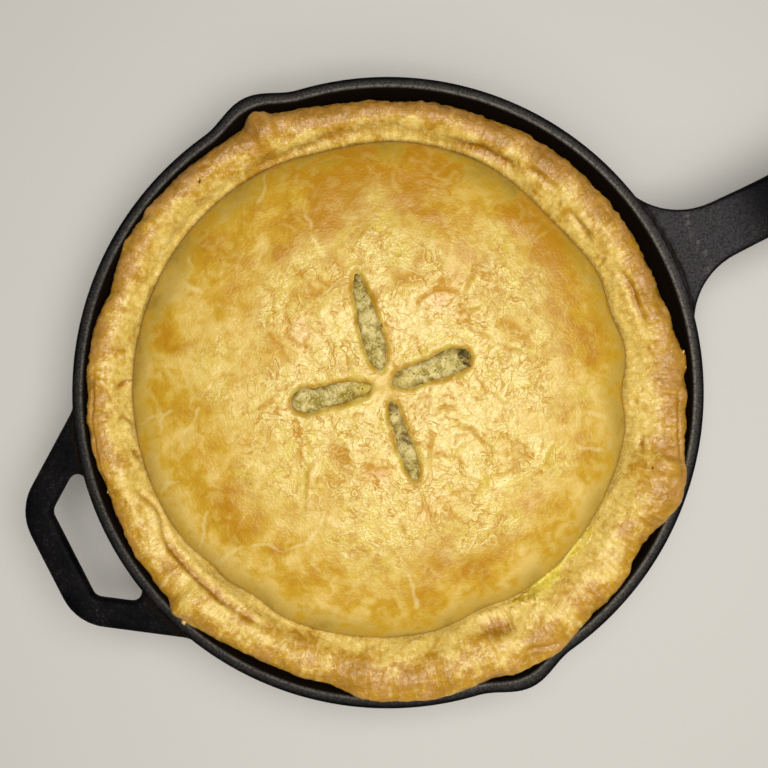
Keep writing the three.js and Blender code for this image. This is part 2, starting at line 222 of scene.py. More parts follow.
def groove(line, x, y, half_width):
    """1 in the middle of a groove along a line, 0 beyond it, weaker at its ends,
    and the same for the two banks, the left one first."""
    away, along, _, side = distance_to(line, x, y)
    ends = np.sin(np.pi * np.clip(along, 0.03, 0.97)) ** 0.6
    dip = np.exp(-((away / half_width) ** 2)) * ends
    bank = np.exp(-(((away - 2 * half_width) / half_width) ** 2)) * ends
    shape = np.shape(x)
    return dip.reshape(shape), (bank * (side > 0)).reshape(shape), (bank * (side < 0)).reshape(shape)


def spot(x, y, place, size):
    return np.exp(-(np.hypot(x - place[0], y - place[1]) / size) ** 2)


def disc_grid(count):
    """A square grid drawn out to a disc: for each point the share of the way
    out and the turn, and the grid's four-sided faces."""
    across, up = np.meshgrid(*(np.linspace(-1, 1, count),) * 2)
    wide = np.abs(across) > np.abs(up)
    reach = np.where(wide, across, up)
    lean = 45 * np.where(wide, up, across) / np.where(reach == 0, 1, reach)
    turn = np.where(wide, lean, 90 - lean) + np.where(reach < 0, 180, 0)
    number = np.arange(count * count).reshape(count, count)
    faces = np.stack([number[:-1, :-1], number[:-1, 1:], number[1:, 1:], number[1:, :-1]], -1)
    return np.abs(reach).ravel(), turn.ravel() % 360, faces.reshape(-1, 4)


def ring_faces(number):
    """Four-sided faces between closed rings of points, from a table of the
    points' numbers with a row for each ring."""
    near, far = number[:-1], number[1:]
    return np.stack([near, far, np.roll(far, -1, 1), np.roll(near, -1, 1)], -1).reshape(-1, 4)


def closed_rings(rings, sides):
    """Faces that make a closed body of rings of points, numbered ring by ring
    from the bottom up, with a face over each end."""
    number = np.arange(rings * sides).reshape(rings, sides)
    faces = ring_faces(number)[:, ::-1].tolist()
    return [*faces, number[0, ::-1].tolist(), number[-1].tolist()]


def new_piece(name, points, faces, material, stands_for=()):
    """A smooth mesh piece from points in millimetres, fixed to the pie."""
    mesh = bpy.data.meshes.new(name)
    mesh.from_pydata(np.asarray(points, float) * MM, [], faces)
    mesh.materials.append(material)
    mesh.shade_smooth()
    piece = bpy.data.objects.new(name, mesh)
    bpy.context.collection.objects.link(piece)
    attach(piece, "root")
    if stands_for:
        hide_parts(stands_for)
    return piece


def record(piece, **measures):
    """Keeps measures of each point on the mesh, for its material to read."""
    for name, values in measures.items():
        layer = piece.data.attributes.new(name, "FLOAT", "POINT")
        layer.data.foreach_set("value", np.ravel(values).astype(np.float32))


def lay_flat(piece, places):
    """Gives the piece its bake map, from a place on the map for each corner."""
    layer = piece.data.uv_layers.new(name="OFBake")
    layer.uv.foreach_set("vector", np.ravel(places).astype(np.float32))


def corners_of(piece):
    """The point at each corner of the piece's faces."""
    found = np.empty(len(piece.data.loops), int)
    piece.data.loops.foreach_get("vertex_index", found)
    return found


# ---- Materials ----


def hue(code):
    """An sRGB hex colour as the linear values that Blender wants."""
    parts = [int(code[i : i + 2], 16) / 255 for i in (1, 3, 5)]
    return [p / 12.92 if p <= 0.04045 else ((p + 0.055) / 1.055) ** 2.4 for p in parts] + [1]


def new_material(name):
    """A material with only its Principled shader, which is returned too."""
    material = bpy.data.materials.new(name)
    material.use_nodes = True
    return material, material.node_tree.nodes["Principled BSDF"]


def wire(material, node, inputs):
    """Sets a node's sockets, by number or name, or links them where the value is
    another node's output. Returns the material."""
    for socket, value in inputs.items():
        if isinstance(value, bpy.types.NodeSocket):
            material.node_tree.links.new(value, node.inputs[socket])
        else:
            node.inputs[socket].default_value = value
    return material


def add(material, kind, inputs, **settings):
    """Adds a node with its settings and links. Returns its outputs."""
    node = material.node_tree.nodes.new("ShaderNode" + kind)
    for name, value in settings.items():
        setattr(node, name, value)
    wire(material, node, inputs)
    return node.outputs


def millimetres(material):
    """The place on the pie, in millimetres."""
    place = add(material, "TexCoord", {})["Object"]
    return add(material, "VectorMath", {0: place, "Scale": 1 / MM}, operation="SCALE")[0]


def level_lines(material, mm, size, reach, strength, moved=(0, 0, 0), level=0.5, **noise_inputs):
    """Wandering lines, strength high and reach wide, where a noise pattern of
    the given size in millimetres crosses a level."""
    moved = add(material, "VectorMath", {0: mm, 1: moved}, operation="ADD")[0]
    found = add(material, "TexNoise", {"Vector": moved, "Scale": 1 / size, **noise_inputs})["Fac"]
    off = add(material, "Math", {0: found, 1: level}, operation="SUBTRACT")[0]
    off = add(material, "Math", {0: off}, operation="ABSOLUTE")[0]
    fade = {0: off, 1: 0, 2: reach, 3: strength, 4: 0}
    return add(material, "MapRange", fade, interpolation_type="SMOOTHSTEP")[0]


def egg_washed_shortcrust():
    """Shortcrust pastry, rolled out, brushed with beaten egg and baked. The egg
    sets to a thin clear skin. Where the dough puffs up most, the skin is glossy
    and puckered, with dull creases where the brown gathers, deepened with painted
    shade. Its folds carry a painted highlight on one side and painted shade on
    the other, and it has painted pinkish highlights. Further out it is thin and
    satin, with pale streaks brightened as painted glints, and low on the sides it
    stays a dull straw colour, darkened with painted shade, darkest in the crease
    under the roll."""
    m, shader = new_material("egg_washed_shortcrust")
    mm = millimetres(m)
    browned, crinkled, glossy, folded, side, vein, lip, pink_highlight, vent_lip_shade = (
        add(m, "Attribute", {}, attribute_name=name)["Fac"]
        for name in ("browned", "crinkled", "glossy", "folded", "side", "vein", "lip", "pink_highlight", "vent_lip_shade")
    )

    # Mottling: soft clouds the size of a coin, and wisps the size of a pea
    patch = add(m, "TexNoise", {"Vector": mm, "Scale": 1 / 19, "Detail": 4, "Distortion": 0.4})["Fac"]
    fleck = {"Scale": 1 / 6, "Detail": 8, "Roughness": 0.58, "Distortion": 0.6}
    fleck = add(m, "TexNoise", {"Vector": mm, **fleck})["Fac"]
    mottle = add(m, "Math", {0: fleck, 1: 0.7, 2: patch}, operation="MULTIPLY_ADD")[0]
    mottle = add(m, "MapRange", {0: mottle, 1: 0.62, 2: 1.08, 3: -0.5, 4: 0.5})[0]
    brown = add(m, "Math", {0: browned, 1: mottle}, operation="ADD", use_clamp=True)[0]
    golden = add(m, "MapRange", {0: brown, 1: 0, 2: 0.45, 3: 0, 4: 1})[0]
    deep = add(m, "MapRange", {0: brown, 1: 0.4, 2: 1.0, 3: 0, 4: 1})[0]
    # The skin's clear windows, where the pale dough shows through
    window = add(m, "MapRange", {0: fleck, 1: 0.42, 2: 0.62, 3: 1, 4: 0.5})[0]
    window = add(m, "Math", {0: window, 1: glossy}, operation="MULTIPLY")[0]

    # Puckers: fine curved folds, 2 to 5 mm apart, that come and go. Each has a
    # painted highlight along one side and painted shade along the other.
    sparse = add(m, "MapRange", {0: patch, 1: 0.42, 2: 0.6, 3: 0.5, 4: 1})[0]
    sparse = add(m, "Math", {0: sparse, 1: crinkled}, operation="MULTIPLY")[0]
    puckers = []
    for level, finer_level in ((0.5, 0.5), (0.53, 0.545)):
        pucker = level_lines(m, mm, 13, 0.026, 1.0, level=level, Detail=3, Distortion=1.2)
        finer = level_lines(m, mm, 6, 0.035, 0.7, (60, 60, 0), finer_level, Detail=3, Distortion=1.2)
        pucker = add(m, "Math", {0: pucker, 1: finer}, operation="ADD")[0]
        puckers.append(add(m, "Math", {0: pucker, 1: sparse}, operation="MULTIPLY")[0])
    # Between the puckers, broader broken golden bands: browning, deepened with
    # painted shade where the glossy skin turns from the light
    band = level_lines(m, mm, 24, 0.06, 0.6, Detail=5, Roughness=0.6, Distortion=0.9)
    broken = add(m, "MapRange", {0: fleck, 1: 0.42, 2: 0.58, 3: 0, 4: 1})[0]
    for share in (broken, crinkled):
        band = add(m, "Math", {0: band, 1: share}, operation="MULTIPLY")[0]
    gathered_and_shaded = add(m, "Math", {0: puckers[0], 1: 1.0, 2: band}, operation="MULTIPLY_ADD")[0]
    # Browning along the folds and bands, with the painted shade of the puckers' dark sides
    stain_and_shade = add(m, "Math", {0: folded, 1: 0.9, 2: gathered_and_shaded}, operation="MULTIPLY_ADD", use_clamp=True)[0]
    # Painted highlight along the puckers' lit sides
    fold_highlight = add(m, "Math", {0: puckers[1], 1: 0.45}, operation="MULTIPLY", use_clamp=True)[0]

    # Soft pale streaks where the dough stretched as it rose, brightened as painted
    # satin glints, and thin pale veins
    streak_and_glint = level_lines(m, mm, 15, 0.08, 0.22, (40, 90, 0), Detail=5, Distortion=0.7)
    faded = add(m, "MapRange", {0: fleck, 1: 0.45, 2: 0.6, 3: 1, 4: 0})[0]
    streak_and_glint = add(m, "Math", {0: streak_and_glint, 1: faded}, operation="MULTIPLY")[0]
    thread = {0: vein, 1: 0.1, 2: 1.5, 3: 0.38, 4: 0}
    thread = add(m, "MapRange", thread, interpolation_type="SMOOTHSTEP")[0]

    # The dull side, in wisps, and less of it where the crust has browned. Its dark
    # olive is partly painted shade on the steep flank.
    # The deepest part is painted shade in the crease where the lid meets the roll
    crease_shade = add(m, "MapRange", {0: side, 1: 1.0, 2: 1.6, 3: 0, 4: 1})[0]
    wispy = add(m, "Math", {0: fleck, 1: 0.5, 2: patch}, operation="MULTIPLY_ADD")[0]
    wispy = add(m, "MapRange", {0: wispy, 1: 0.6, 2: 0.9, 3: 1.15, 4: 0.45})[0]
    side = add(m, "Math", {0: side, 1: wispy}, operation="MULTIPLY", use_clamp=True)[0]
    pale = add(m, "MapRange", {0: brown, 1: 0.3, 2: 0.9, 3: 1, 4: 0.3})[0]
    side = add(m, "Math", {0: side, 1: pale}, operation="MULTIPLY")[0]

    colour = hue("#d5b35b")
    for share, code in (
        (golden, "#c19824"), (deep, "#b07b02"), (window, "#cfb650"), (pink_highlight, "#e0b078"),
        (stain_and_shade, "#b38006"), (fold_highlight, "#eddb98"), (streak_and_glint, "#dcc67c"), (thread, "#e4d290"),
        (side, "#9a7c25"), (crease_shade, "#705810"), (lip, "#ae7e0c"), (vent_lip_shade, "#7f6a18"),
    ):
        colour = add(m, "Mix", {0: share, 6: colour, 7: hue(code)}, data_type="RGBA")[2]

    bump = add(m, "Bump", {"Strength": 0.6, "Distance": 0.15 * MM, "Height": puckers[1]})[0]
    grain = add(m, "TexNoise", {"Vector": mm, "Scale": 1 / 1.3, "Detail": 4})["Fac"]
    bump = add(m, "Bump", {"Strength": 1.0, "Distance": 0.32 * MM, "Height": grain, "Normal": bump})[0]

    shine = add(m, "Math", {0: stain_and_shade, 1: -1.0, 2: glossy}, operation="MULTIPLY_ADD", use_clamp=True)[0]
    rough = add(m, "MapRange", {0: shine, 1: 0, 2: 1, 3: 0.65, 4: 0.1})[0]
    rough = add(m, "Mix", {0: crinkled, 2: 0.3, 3: rough})[0]
    rough = add(m, "Math", {0: fleck, 1: 0.12, 2: rough}, operation="MULTIPLY_ADD")[0]
    return wire(m, shader, {"Base Color": colour, "Roughness": rough, "IOR": 1.55, "Normal": bump})


def rolled_shortcrust():
    """The same dough, rolled over into a rope at the rim. It stands proud, so it
    browns first on its outer shoulder, stays pale and satin on the inner face,
    and shows short wrinkles across the roll. The wrinkles are painted with
    highlights on their tops and shade between them, the inner foot is painted
    paler as light on the near side, and the joint with the lid holds painted shade."""
    m, shader = new_material("rolled_shortcrust")
    mm = millimetres(m)
    toasted, crease = (
        add(m, "Attribute", {}, attribute_name=name)["Fac"] for name in ("toasted", "crease")
    )

    patch = add(m, "TexNoise", {"Vector": mm, "Scale": 1 / 10, "Detail": 4, "Distortion": 0.5})["Fac"]
    fleck = add(m, "TexNoise", {"Vector": mm, "Scale": 1 / 3, "Detail": 4, "Distortion": 0.6})["Fac"]
    mottle = add(m, "Math", {0: fleck, 1: 0.35, 2: patch}, operation="MULTIPLY_ADD")[0]
    mottle = add(m, "MapRange", {0: mottle, 1: 0.48, 2: 0.87, 3: -0.45, 4: 0.45})[0]
    brown = add(m, "Math", {0: toasted, 1: mottle}, operation="ADD", use_clamp=True)[0]
    golden = add(m, "MapRange", {0: brown, 1: 0, 2: 0.45, 3: 0, 4: 1})[0]
    pale = add(m, "MapRange", {0: toasted, 1: -0.5, 2: 0, 3: 0.6, 4: 0})[0]
    deep = add(m, "MapRange", {0: brown, 1: 0.45, 2: 1.0, 3: 0, 4: 1})[0]
    darkest = add(m, "MapRange", {0: toasted, 1: 1.0, 2: 1.6, 3: 0, 4: 0.7})[0]
    moved = add(m, "VectorMath", {0: mm, 1: (70, 20, 0)}, operation="ADD")[0]
    tan = add(m, "TexNoise", {"Vector": moved, "Scale": 1 / 9, "Detail": 3, "Distortion": 0.4})["Fac"]
    tan = add(m, "MapRange", {0: tan, 1: 0.42, 2: 0.58, 3: 0, 4: 1})[0]
    tan = add(m, "Mix", {0: tan, 6: hue("#a4761a"), 7: hue("#b4833a")}, data_type="RGBA")[2]

    # Fine wrinkles across the roll: a noise that is stretched out from the middle.
    # Their tops carry a painted highlight, less where brown, and the hollows
    # between them painted shade.
    flat = add(m, "SeparateXYZ", {0: mm})
    around = add(m, "Math", {0: flat[1], 1: flat[0]}, operation="ARCTAN2")[0]
    around = add(m, "Math", {0: around, 1: EDGE_RADIUS - 10}, operation="MULTIPLY")[0]
    out = add(m, "VectorMath", {0: mm}, operation="LENGTH")["Value"]
    out = add(m, "Math", {0: out, 1: 0.28}, operation="MULTIPLY")[0]
    along = add(m, "CombineXYZ", {0: around, 1: out})[0]
    wrinkle = add(m, "TexNoise", {"Vector": along, "Scale": 1 / 2.4, "Detail": 2, "Distortion": 0.3})["Fac"]
    skin = {"Scale": 1 / 2, "Detail": 5, "Roughness": 0.6, "Distortion": 0.6}
    skin = add(m, "TexNoise", {"Vector": mm, **skin})["Fac"]
    skin = add(m, "Math", {0: wrinkle, 1: 0.8, 2: skin}, operation="MULTIPLY_ADD")[0]
    ridge_highlight_share = add(m, "MapRange", {0: brown, 1: 0.3, 2: 0.9, 3: 0.5, 4: 0.1})[0]
    # Painted highlight on the wrinkles' tops
    high = add(m, "MapRange", {0: skin, 1: 0.9, 2: 1.15, 3: 0, 4: 1})[0]
    high = add(m, "Math", {0: high, 1: ridge_highlight_share}, operation="MULTIPLY")[0]
    # Painted shade in the hollows between the wrinkles
    low = add(m, "MapRange", {0: skin, 1: 0.65, 2: 0.9, 3: 0.35, 4: 0})[0]

    colour = hue("#d8b858")
    # The crease colour is the brown in the furrows, and painted shade in the joint with the lid
    for share, over in (
        (golden, hue("#b98a1c")), (pale, hue("#e8cc70")), (deep, tan), (crease, hue("#a06c00")),
        (darkest, hue("#8c5e14")), (high, hue("#ecd694")), (low, hue("#a87812")),
    ):
        colour = add(m, "Mix", {0: share, 6: colour, 7: over}, data_type="RGBA")[2]
    bump = add(m, "Bump", {"Strength": 1.0, "Distance": 0.62 * MM, "Height": skin})[0]
    rough = add(m, "MapRange", {0: fleck, 1: 0.35, 2: 0.65, 3: 0.1, 4: 0.35})[0]
    return wire(m, shader, {"Base Color": colour, "Roughness": rough, "IOR": 1.58, "Normal": bump})


def herb_cream_sauce():
    """Chicken and vegetables in a thick cream sauce with herbs, baked until it
    sets: straw-coloured lumps in a duller green-grey sauce, grainy and just
    moist, with whitish curds brightened as painted glints, browned in spots, and
    darker with painted shade where it meets the crust."""
    m, shader = new_material("herb_cream_sauce")
    mm = millimetres(m)
    buttery, edged = (
        add(m, "Attribute", {}, attribute_name=name)["Fac"] for name in ("buttery", "edged")
    )
    patch = add(m, "TexNoise", {"Vector": mm, "Scale": 1 / 3.2, "Detail": 4, "Distortion": 0.7})["Fac"]
    lump = add(m, "TexNoise", {"Vector": mm, "Scale": 1 / 9, "Detail": 2, "Distortion": 0.4})["Fac"]
    lump = add(m, "Math", {0: lump, 1: 0.9, 2: patch}, operation="MULTIPLY_ADD")[0]
    lump = add(m, "MapRange", {0: lump, 1: 0.75, 2: 1.15, 3: 0, 4: 1})[0]
    grain = add(m, "TexNoise", {"Vector": mm, "Scale": 1 / 0.8, "Detail": 3})["Fac"]
    speck = add(m, "MapRange", {0: grain, 1: 0.36, 2: 0.44, 3: 0.32, 4: 0})[0]
    # Whitish curds on the tops of the grain, brightened as painted glints
    curd = add(m, "MapRange", {0: grain, 1: 0.55, 2: 0.64, 3: 0, 4: 0.4})[0]
    # Painted shade where the filling meets the lips, with browned spots
    uneven = add(m, "MapRange", {0: patch, 1: 0.35, 2: 0.65, 3: 1, 4: 0.55})[0]
    edged = add(m, "Math", {0: edged, 1: uneven}, operation="MULTIPLY")[0]
    colour = hue("#8c7a1e")
    for share, code in (
        (lump, "#dac884"), (buttery, "#cdb240"), (speck, "#4a3a04"), (curd, "#e6dcae"), (edged, "#563c06"),
    ):
        colour = add(m, "Mix", {0: share, 6: colour, 7: hue(code)}, data_type="RGBA")[2]
    bump = add(m, "Bump", {"Strength": 0.8, "Distance": 0.3 * MM, "Height": grain})[0]
    return wire(m, shader, {"Base Color": colour, "Roughness": 0.36, "IOR": 1.2, "Normal": bump})


def seasoned_cast_iron():
    """Sand-cast iron, seasoned with baked-on oil: near black and satin, pebbled
    and speckled grey by the sand, and rubbed to a thin grey line on the rim's
    inner edge, which also carries a painted highlight."""
    m, shader = new_material("seasoned_cast_iron")
    mm = millimetres(m)
    wear_and_highlight, grease_and_shade, dry = (
        add(m, "Attribute", {}, attribute_name=name)["Fac"] for name in ("wear_and_highlight", "grease_and_shade", "dry")
    )
    cloud = add(m, "TexNoise", {"Vector": mm, "Scale": 1 / 18, "Detail": 4, "Distortion": 0.5})["Fac"]
    clouded = add(m, "MapRange", {0: cloud, 1: 0.35, 2: 0.7, 3: 0, 4: 1})[0]
    sand = add(m, "TexNoise", {"Vector": mm, "Scale": 1 / 1.1, "Detail": 4})["Fac"]
    speck = add(m, "MapRange", {0: sand, 1: 0.57, 2: 0.68, 3: 0, 4: 1})[0]
    often = add(m, "MapRange", {0: clouded, 1: 0.2, 2: 1, 3: 0.04, 4: 0.45})[0]
    speck = add(m, "Math", {0: speck, 1: often}, operation="MULTIPLY")[0]
    mottled = add(m, "MapRange", {0: sand, 1: 0.35, 2: 0.6, 3: 0.35, 4: 1})[0]
    dry = add(m, "Math", {0: dry, 1: mottled}, operation="MULTIPLY")[0]
    # The rubbed line on the rim's inner edge is wear with a painted highlight
    rubbed = add(m, "MapRange", {0: sand, 1: 0.4, 2: 0.55, 3: 0.4, 4: 0.9})[0]
    rubbed = add(m, "Math", {0: rubbed, 1: wear_and_highlight}, operation="MULTIPLY")[0]
    # The oil-dark mark is grease on the inner wall, and painted shade in the step round each handle's foot
    colour = hue("#060609")
    for share, code in (
        (clouded, "#141211"), (speck, "#424349"), (dry, "#403d3f"), (rubbed, "#6c6860"), (grease_and_shade, "#120c06"),
    ):
        colour = add(m, "Mix", {0: share, 6: colour, 7: hue(code)}, data_type="RGBA")[2]
    pock = add(m, "TexVoronoi", {"Vector": mm, "Scale": 1 / 2.2})["Distance"]
    height = add(m, "Math", {0: sand, 1: pock}, operation="ADD")[0]
    bump = add(m, "Bump", {"Strength": 0.6, "Distance": 0.3 * MM, "Height": height})[0]
    rough = add(m, "MapRange", {0: cloud, 1: 0.3, 2: 0.7, 3: 0.42, 4: 0.55})[0]
    return wire(m, shader, {"Base Color": colour, "Roughness": rough, "IOR": 1.1, "Normal": bump})


def dried_sauce():
    """Sauce that bubbled up through the joint between lid and roll, and dried
    there: lime yellow where it is thick, whitish and grainy where it is thin."""
    m, shader = new_material("dried_sauce")
    mm = millimetres(m)
    thin, amber, edge = (
        add(m, "Attribute", {}, attribute_name=name)["Fac"] for name in ("thin", "amber", "edge")
    )
    grain = add(m, "TexNoise", {"Vector": mm, "Scale": 1 / 1.2, "Detail": 4})["Fac"]
    spread = add(m, "Math", {0: grain, 1: 0.9, 2: thin}, operation="MULTIPLY_ADD")[0]
    spread = add(m, "MapRange", {0: spread, 1: 0.7, 2: 1.1, 3: 0, 4: 0.8})[0]
    curd = add(m, "TexNoise", {"Vector": mm, "Scale": 1 / 2, "Detail": 3})["Fac"]
    curd = add(m, "MapRange", {0: curd, 1: 0.38, 2: 0.62, 3: 0.7, 4: 0})[0]
    colour = hue("#dec858")
    for share, code in ((amber, "#c08f0c"), (curd, "#b8a42c"), (spread, "#d6c684"), (edge, "#a49420")):
        colour = add(m, "Mix", {0: share, 6: colour, 7: hue(code)}, data_type="RGBA")[2]
    bump = add(m, "Bump", {"Strength": 0.7, "Distance": 0.3 * MM, "Height": grain})[0]
    return wire(m, shader, {"Base Color": colour, "Roughness": 0.3, "IOR": 1.45, "Normal": bump})


def baked_thyme():
    """Dried thyme leaf and stalk, baked nearly black in the sauce."""
    m, shader = new_material("baked_thyme")
    tone = {"Vector": millimetres(m), "Scale": 1 / 1.8, "Detail": 2}
    tone = add(m, "TexNoise", tone)["Fac"]
    tone = add(m, "MapRange", {0: tone, 1: 0.4, 2: 0.6, 3: 0, 4: 1})[0]
    colour = add(m, "Mix", {0: tone, 6: hue("#353010"), 7: hue("#5c5226")}, data_type="RGBA")[2]
    return wire(m, shader, {"Base Color": colour, "Roughness": 0.55, "IOR": 1.2})


def cooked_carrot():
    """Diced carrot, cooked soft: a moist orange-red sliver of it."""
    m, shader = new_material("cooked_carrot")
    return wire(m, shader, {"Base Color": hue("#8f4316"), "Roughness": 0.35})


def baked_crumbs():
    """Loose crumbs and flakes of the same crust, baked dry and dull."""
    m, shader = new_material("baked_crumbs")
    tone = {"Vector": millimetres(m), "Scale": 1 / 1.5, "Detail": 3}
    tone = add(m, "TexNoise", tone)["Fac"]
    tone = add(m, "MapRange", {0: tone, 1: 0.4, 2: 0.6, 3: 0, 4: 1})[0]
    colour = add(m, "Mix", {0: tone, 6: hue("#cfb06c"), 7: hue("#a07c38")}, data_type="RGBA")[2]
    return wire(m, shader, {"Base Color": colour, "Roughness": 0.6})


def matt_tabletop():
    """A board painted matt off-white, so it takes soft shadows and no gloss."""
    m, shader = new_material("matt_tabletop")
    return wire(m, shader, {"Base Color": hue("#c6c4be"), "Roughness": 0.75})


# ---- Camera, floor and lights ----

VIEW_TURN = -26.1  # degrees that the camera is turned about Z
VIEW_CENTRE = (0.1, 4.6)
VIEW_HEIGHT = 537
VIEW_LENS, VIEW_SENSOR, VIEW_NEAREST = 46.7, 36, 20
TABLETOP_HALF = 3000


def from_view(right, up):
    """x and y, in millimetres, of a place given by its distance right of the
    view's middle and above it."""
    lean = np.radians(VIEW_TURN)
    x = VIEW_CENTRE[0] + right * np.cos(lean) - up * np.sin(lean)
    y = VIEW_CENTRE[1] + right * np.sin(lean) + up * np.cos(lean)
    return x, y


def overhead_camera():
    camera = bpy.data.objects.new("camera", bpy.data.cameras.new("camera"))
    bpy.context.collection.objects.link(camera)
    camera.data.lens = VIEW_LENS
    camera.data.sensor_width = VIEW_SENSOR
    camera.data.clip_start = VIEW_NEAREST * MM
    camera.location = Vector((*VIEW_CENTRE, VIEW_HEIGHT)) * MM
    camera.rotation_euler = (0, 0, np.radians(VIEW_TURN))
    bpy.context.scene.camera = camera


def tabletop():
    mesh = bpy.data.meshes.new("tabletop")
    half = TABLETOP_HALF * MM
    corners = [(-half, -half, 0), (half, -half, 0), (half, half, 0), (-half, half, 0)]
    mesh.from_pydata(corners, [], [range(4)])
    mesh.materials.append(matt_tabletop())
    floor = bpy.data.objects.new("tabletop", mesh)
    bpy.context.collection.objects.link(floor)


def softbox(name, right, up, height, size, power, colour, mirrored_by_gloss=True):
    """A square soft light that faces the middle of the pie."""
    lamp = bpy.data.lights.new(name, "AREA")
    lamp.size = size * MM
    lamp.energy = power
    lamp.color = hue(colour)[:3]
    light = bpy.data.objects.new(name, lamp)
    x, y = from_view(right, up)
    light.location = Vector((x, y, height)) * MM
    aim = Vector((*VIEW_CENTRE, RIM_HEIGHT)) * MM - light.location
    light.rotation_euler = aim.to_track_quat("-Z", "Y").to_euler()
    light.visible_glossy = mirrored_by_gloss
    bpy.context.collection.objects.link(light)


def studio():
    """Plain soft light. Colours are shown as they are, with no film curve."""
    bpy.context.scene.view_settings.view_transform = "Standard"
    overhead_camera()
    tabletop()
    softbox("fill", -60, -480, 900, 500, 1.9, "#fffaf4", mirrored_by_gloss=False)
    softbox("overhead", 115, 10, 900, 640, 8.9, "#fffdfa")
    world = bpy.data.worlds.new("room")
    world.use_nodes = True
    background = world.node_tree.nodes["Background"].inputs
    background["Color"].default_value = hue("#f4efe6")
    background["Strength"].default_value = 0.13
    bpy.context.scene.world = world


# ---- The lid ----

LID_CELLS, LID_SPREAD = 290, 1.08  # the cells are a little smaller towards the middle
UNDER_BLOCK = 6  # cells of the top that one cell of the hidden underside spans
LIP_REACH = 2.5  # the mesh gathers towards a vent's lip from this far
SKIRT = 1.2  # the lid's edge runs on under the roll
UNDERSIDE_SCALE = 0.12
# The dull side also carries painted shade
DULL_SHADED_TURN = 70  # towards here the dull side of the dome is widest
CREASE_DEPTH, CREASE_HALF = 1.3, 1.3  # the crease between the lid and the roll
LID_LUMPS = ((32, 1.1, 0.9), (13, 2.2, 0.5), (4, 8.8, 0.1))  # rows for uneven()
PUCKERS = ((24, 7.7, 0.55), (12, 17.7, 0.25))  # rows of size, seed and height
LIP_DROP, LIP_WIDE = 1.4, 1.4  # how far, and from where, the lid falls away to a vent
BANK_RISE, BANK_HALF = 0.3, 1.6  # the low bank behind that
# Where the egg skin is crinkled: its middle, right of the view's middle and
# above it, and the radii between which it comes to an end
CRINKLED_MIDDLE, CRINKLED_ENDS = (7, -3), (66, 92)

# Patches that took more colour: x, y, size, strength
BROWNED = (
    (-4, -73, 10, 0.2), (-30, -95, 10, 0.3), (20, -80, 9, 0.25),
    (-67, 71, 8, -0.35), (-66, 60, 10, -0.3), (-98, 22, 9, -0.3), (-84, 48, 9, -0.25), (-72, 95, 9, -0.3),
    (15, 85, 15, 0.6), (12, 112, 12, 0.45), (42, 84, 13, 0.75), (38, 108, 14, 0.55), (66, 89, 12, 0.45),
    (-32, 85, 7, 0.25), (-18, 82, 3.5, 0.8), (3, 68, 4, 0.9), (-12, 58, 6, 0.5), (-39, 41, 7, 0.5),
    (-49, 101, 9, 0.5), (-80, 72, 10, 0.55), (-92, -10, 9, 0.3), (-92, -25, 8, 0.3),
    (-39, -64, 10, 0.65), (-62, -80, 6, 0.6), (-81, -45, 5, 0.5), (-5, -91, 11, 0.5), (99, 24, 13, 0.55),
    (98, -14, 8, 0.3), (92, 48, 12, 0.5), (-39, 73, 12, 0.25), (-77, 0, 6, 0.3), (-21, -31, 5, 0.5),
    (42, 30, 6, 0.4), (65, 2, 6, 0.45), (-33, -17, 5, 0.5), (30, 45, 7, 0.35), (-42, -30, 8, 0.3),
    (54, -51, 7, 0.35), (-56, 66, 8, -0.3), (-64, 7, 7, -0.3), (-72, -53, 7, -0.3), (37, -43, 7, -0.3),
    (45, -71, 9, -0.25), (38, -87, 8, -0.3), (71, -18, 7, -0.25), (-23, 92, 7, -0.3), (3, 100, 8, -0.2),
    (-28, 104, 8, -0.25), (-92, 54, 9, -0.2), (78, 76, 9, 0.25), (104, 14, 8, 0.3), (88, -42, 10, -0.2),
    (64, 95, 9, 0.2), (-50, -95, 10, 0.3),
)

# Places in the glossy middle where the skin is dull: x, y, size, strength
DULLED = (
    (-12, 59, 8, 1), (-38, 42, 9, 1), (4, 66, 7, 0.8), (45, 34, 5, 0.9), (30, 46, 6, 0.7), (65, 2, 7, 0.9),
    (-33, -18, 5, 1), (-21, -30, 6, 0.7), (-46, -28, 9, 0.6), (-70, 8, 10, 0.8), (0, -62, 9, 0.6),
    (40, -46, 7, 0.5), (71, -20, 7, 0.6), (-62, 34, 8, 0.7), (84, 2, 8, 0.7), (58, 44, 7, 0.6),
)

# Places on the glossy skin with a painted pinkish highlight
PINK_HIGHLIGHTS = ((40.5, 28.3, 7, 1), (-24.6, 43, 6, 1), (-22, -32, 5, 1), (-8, -58, 7, 0.6), (52, 36, 5, 0.6))

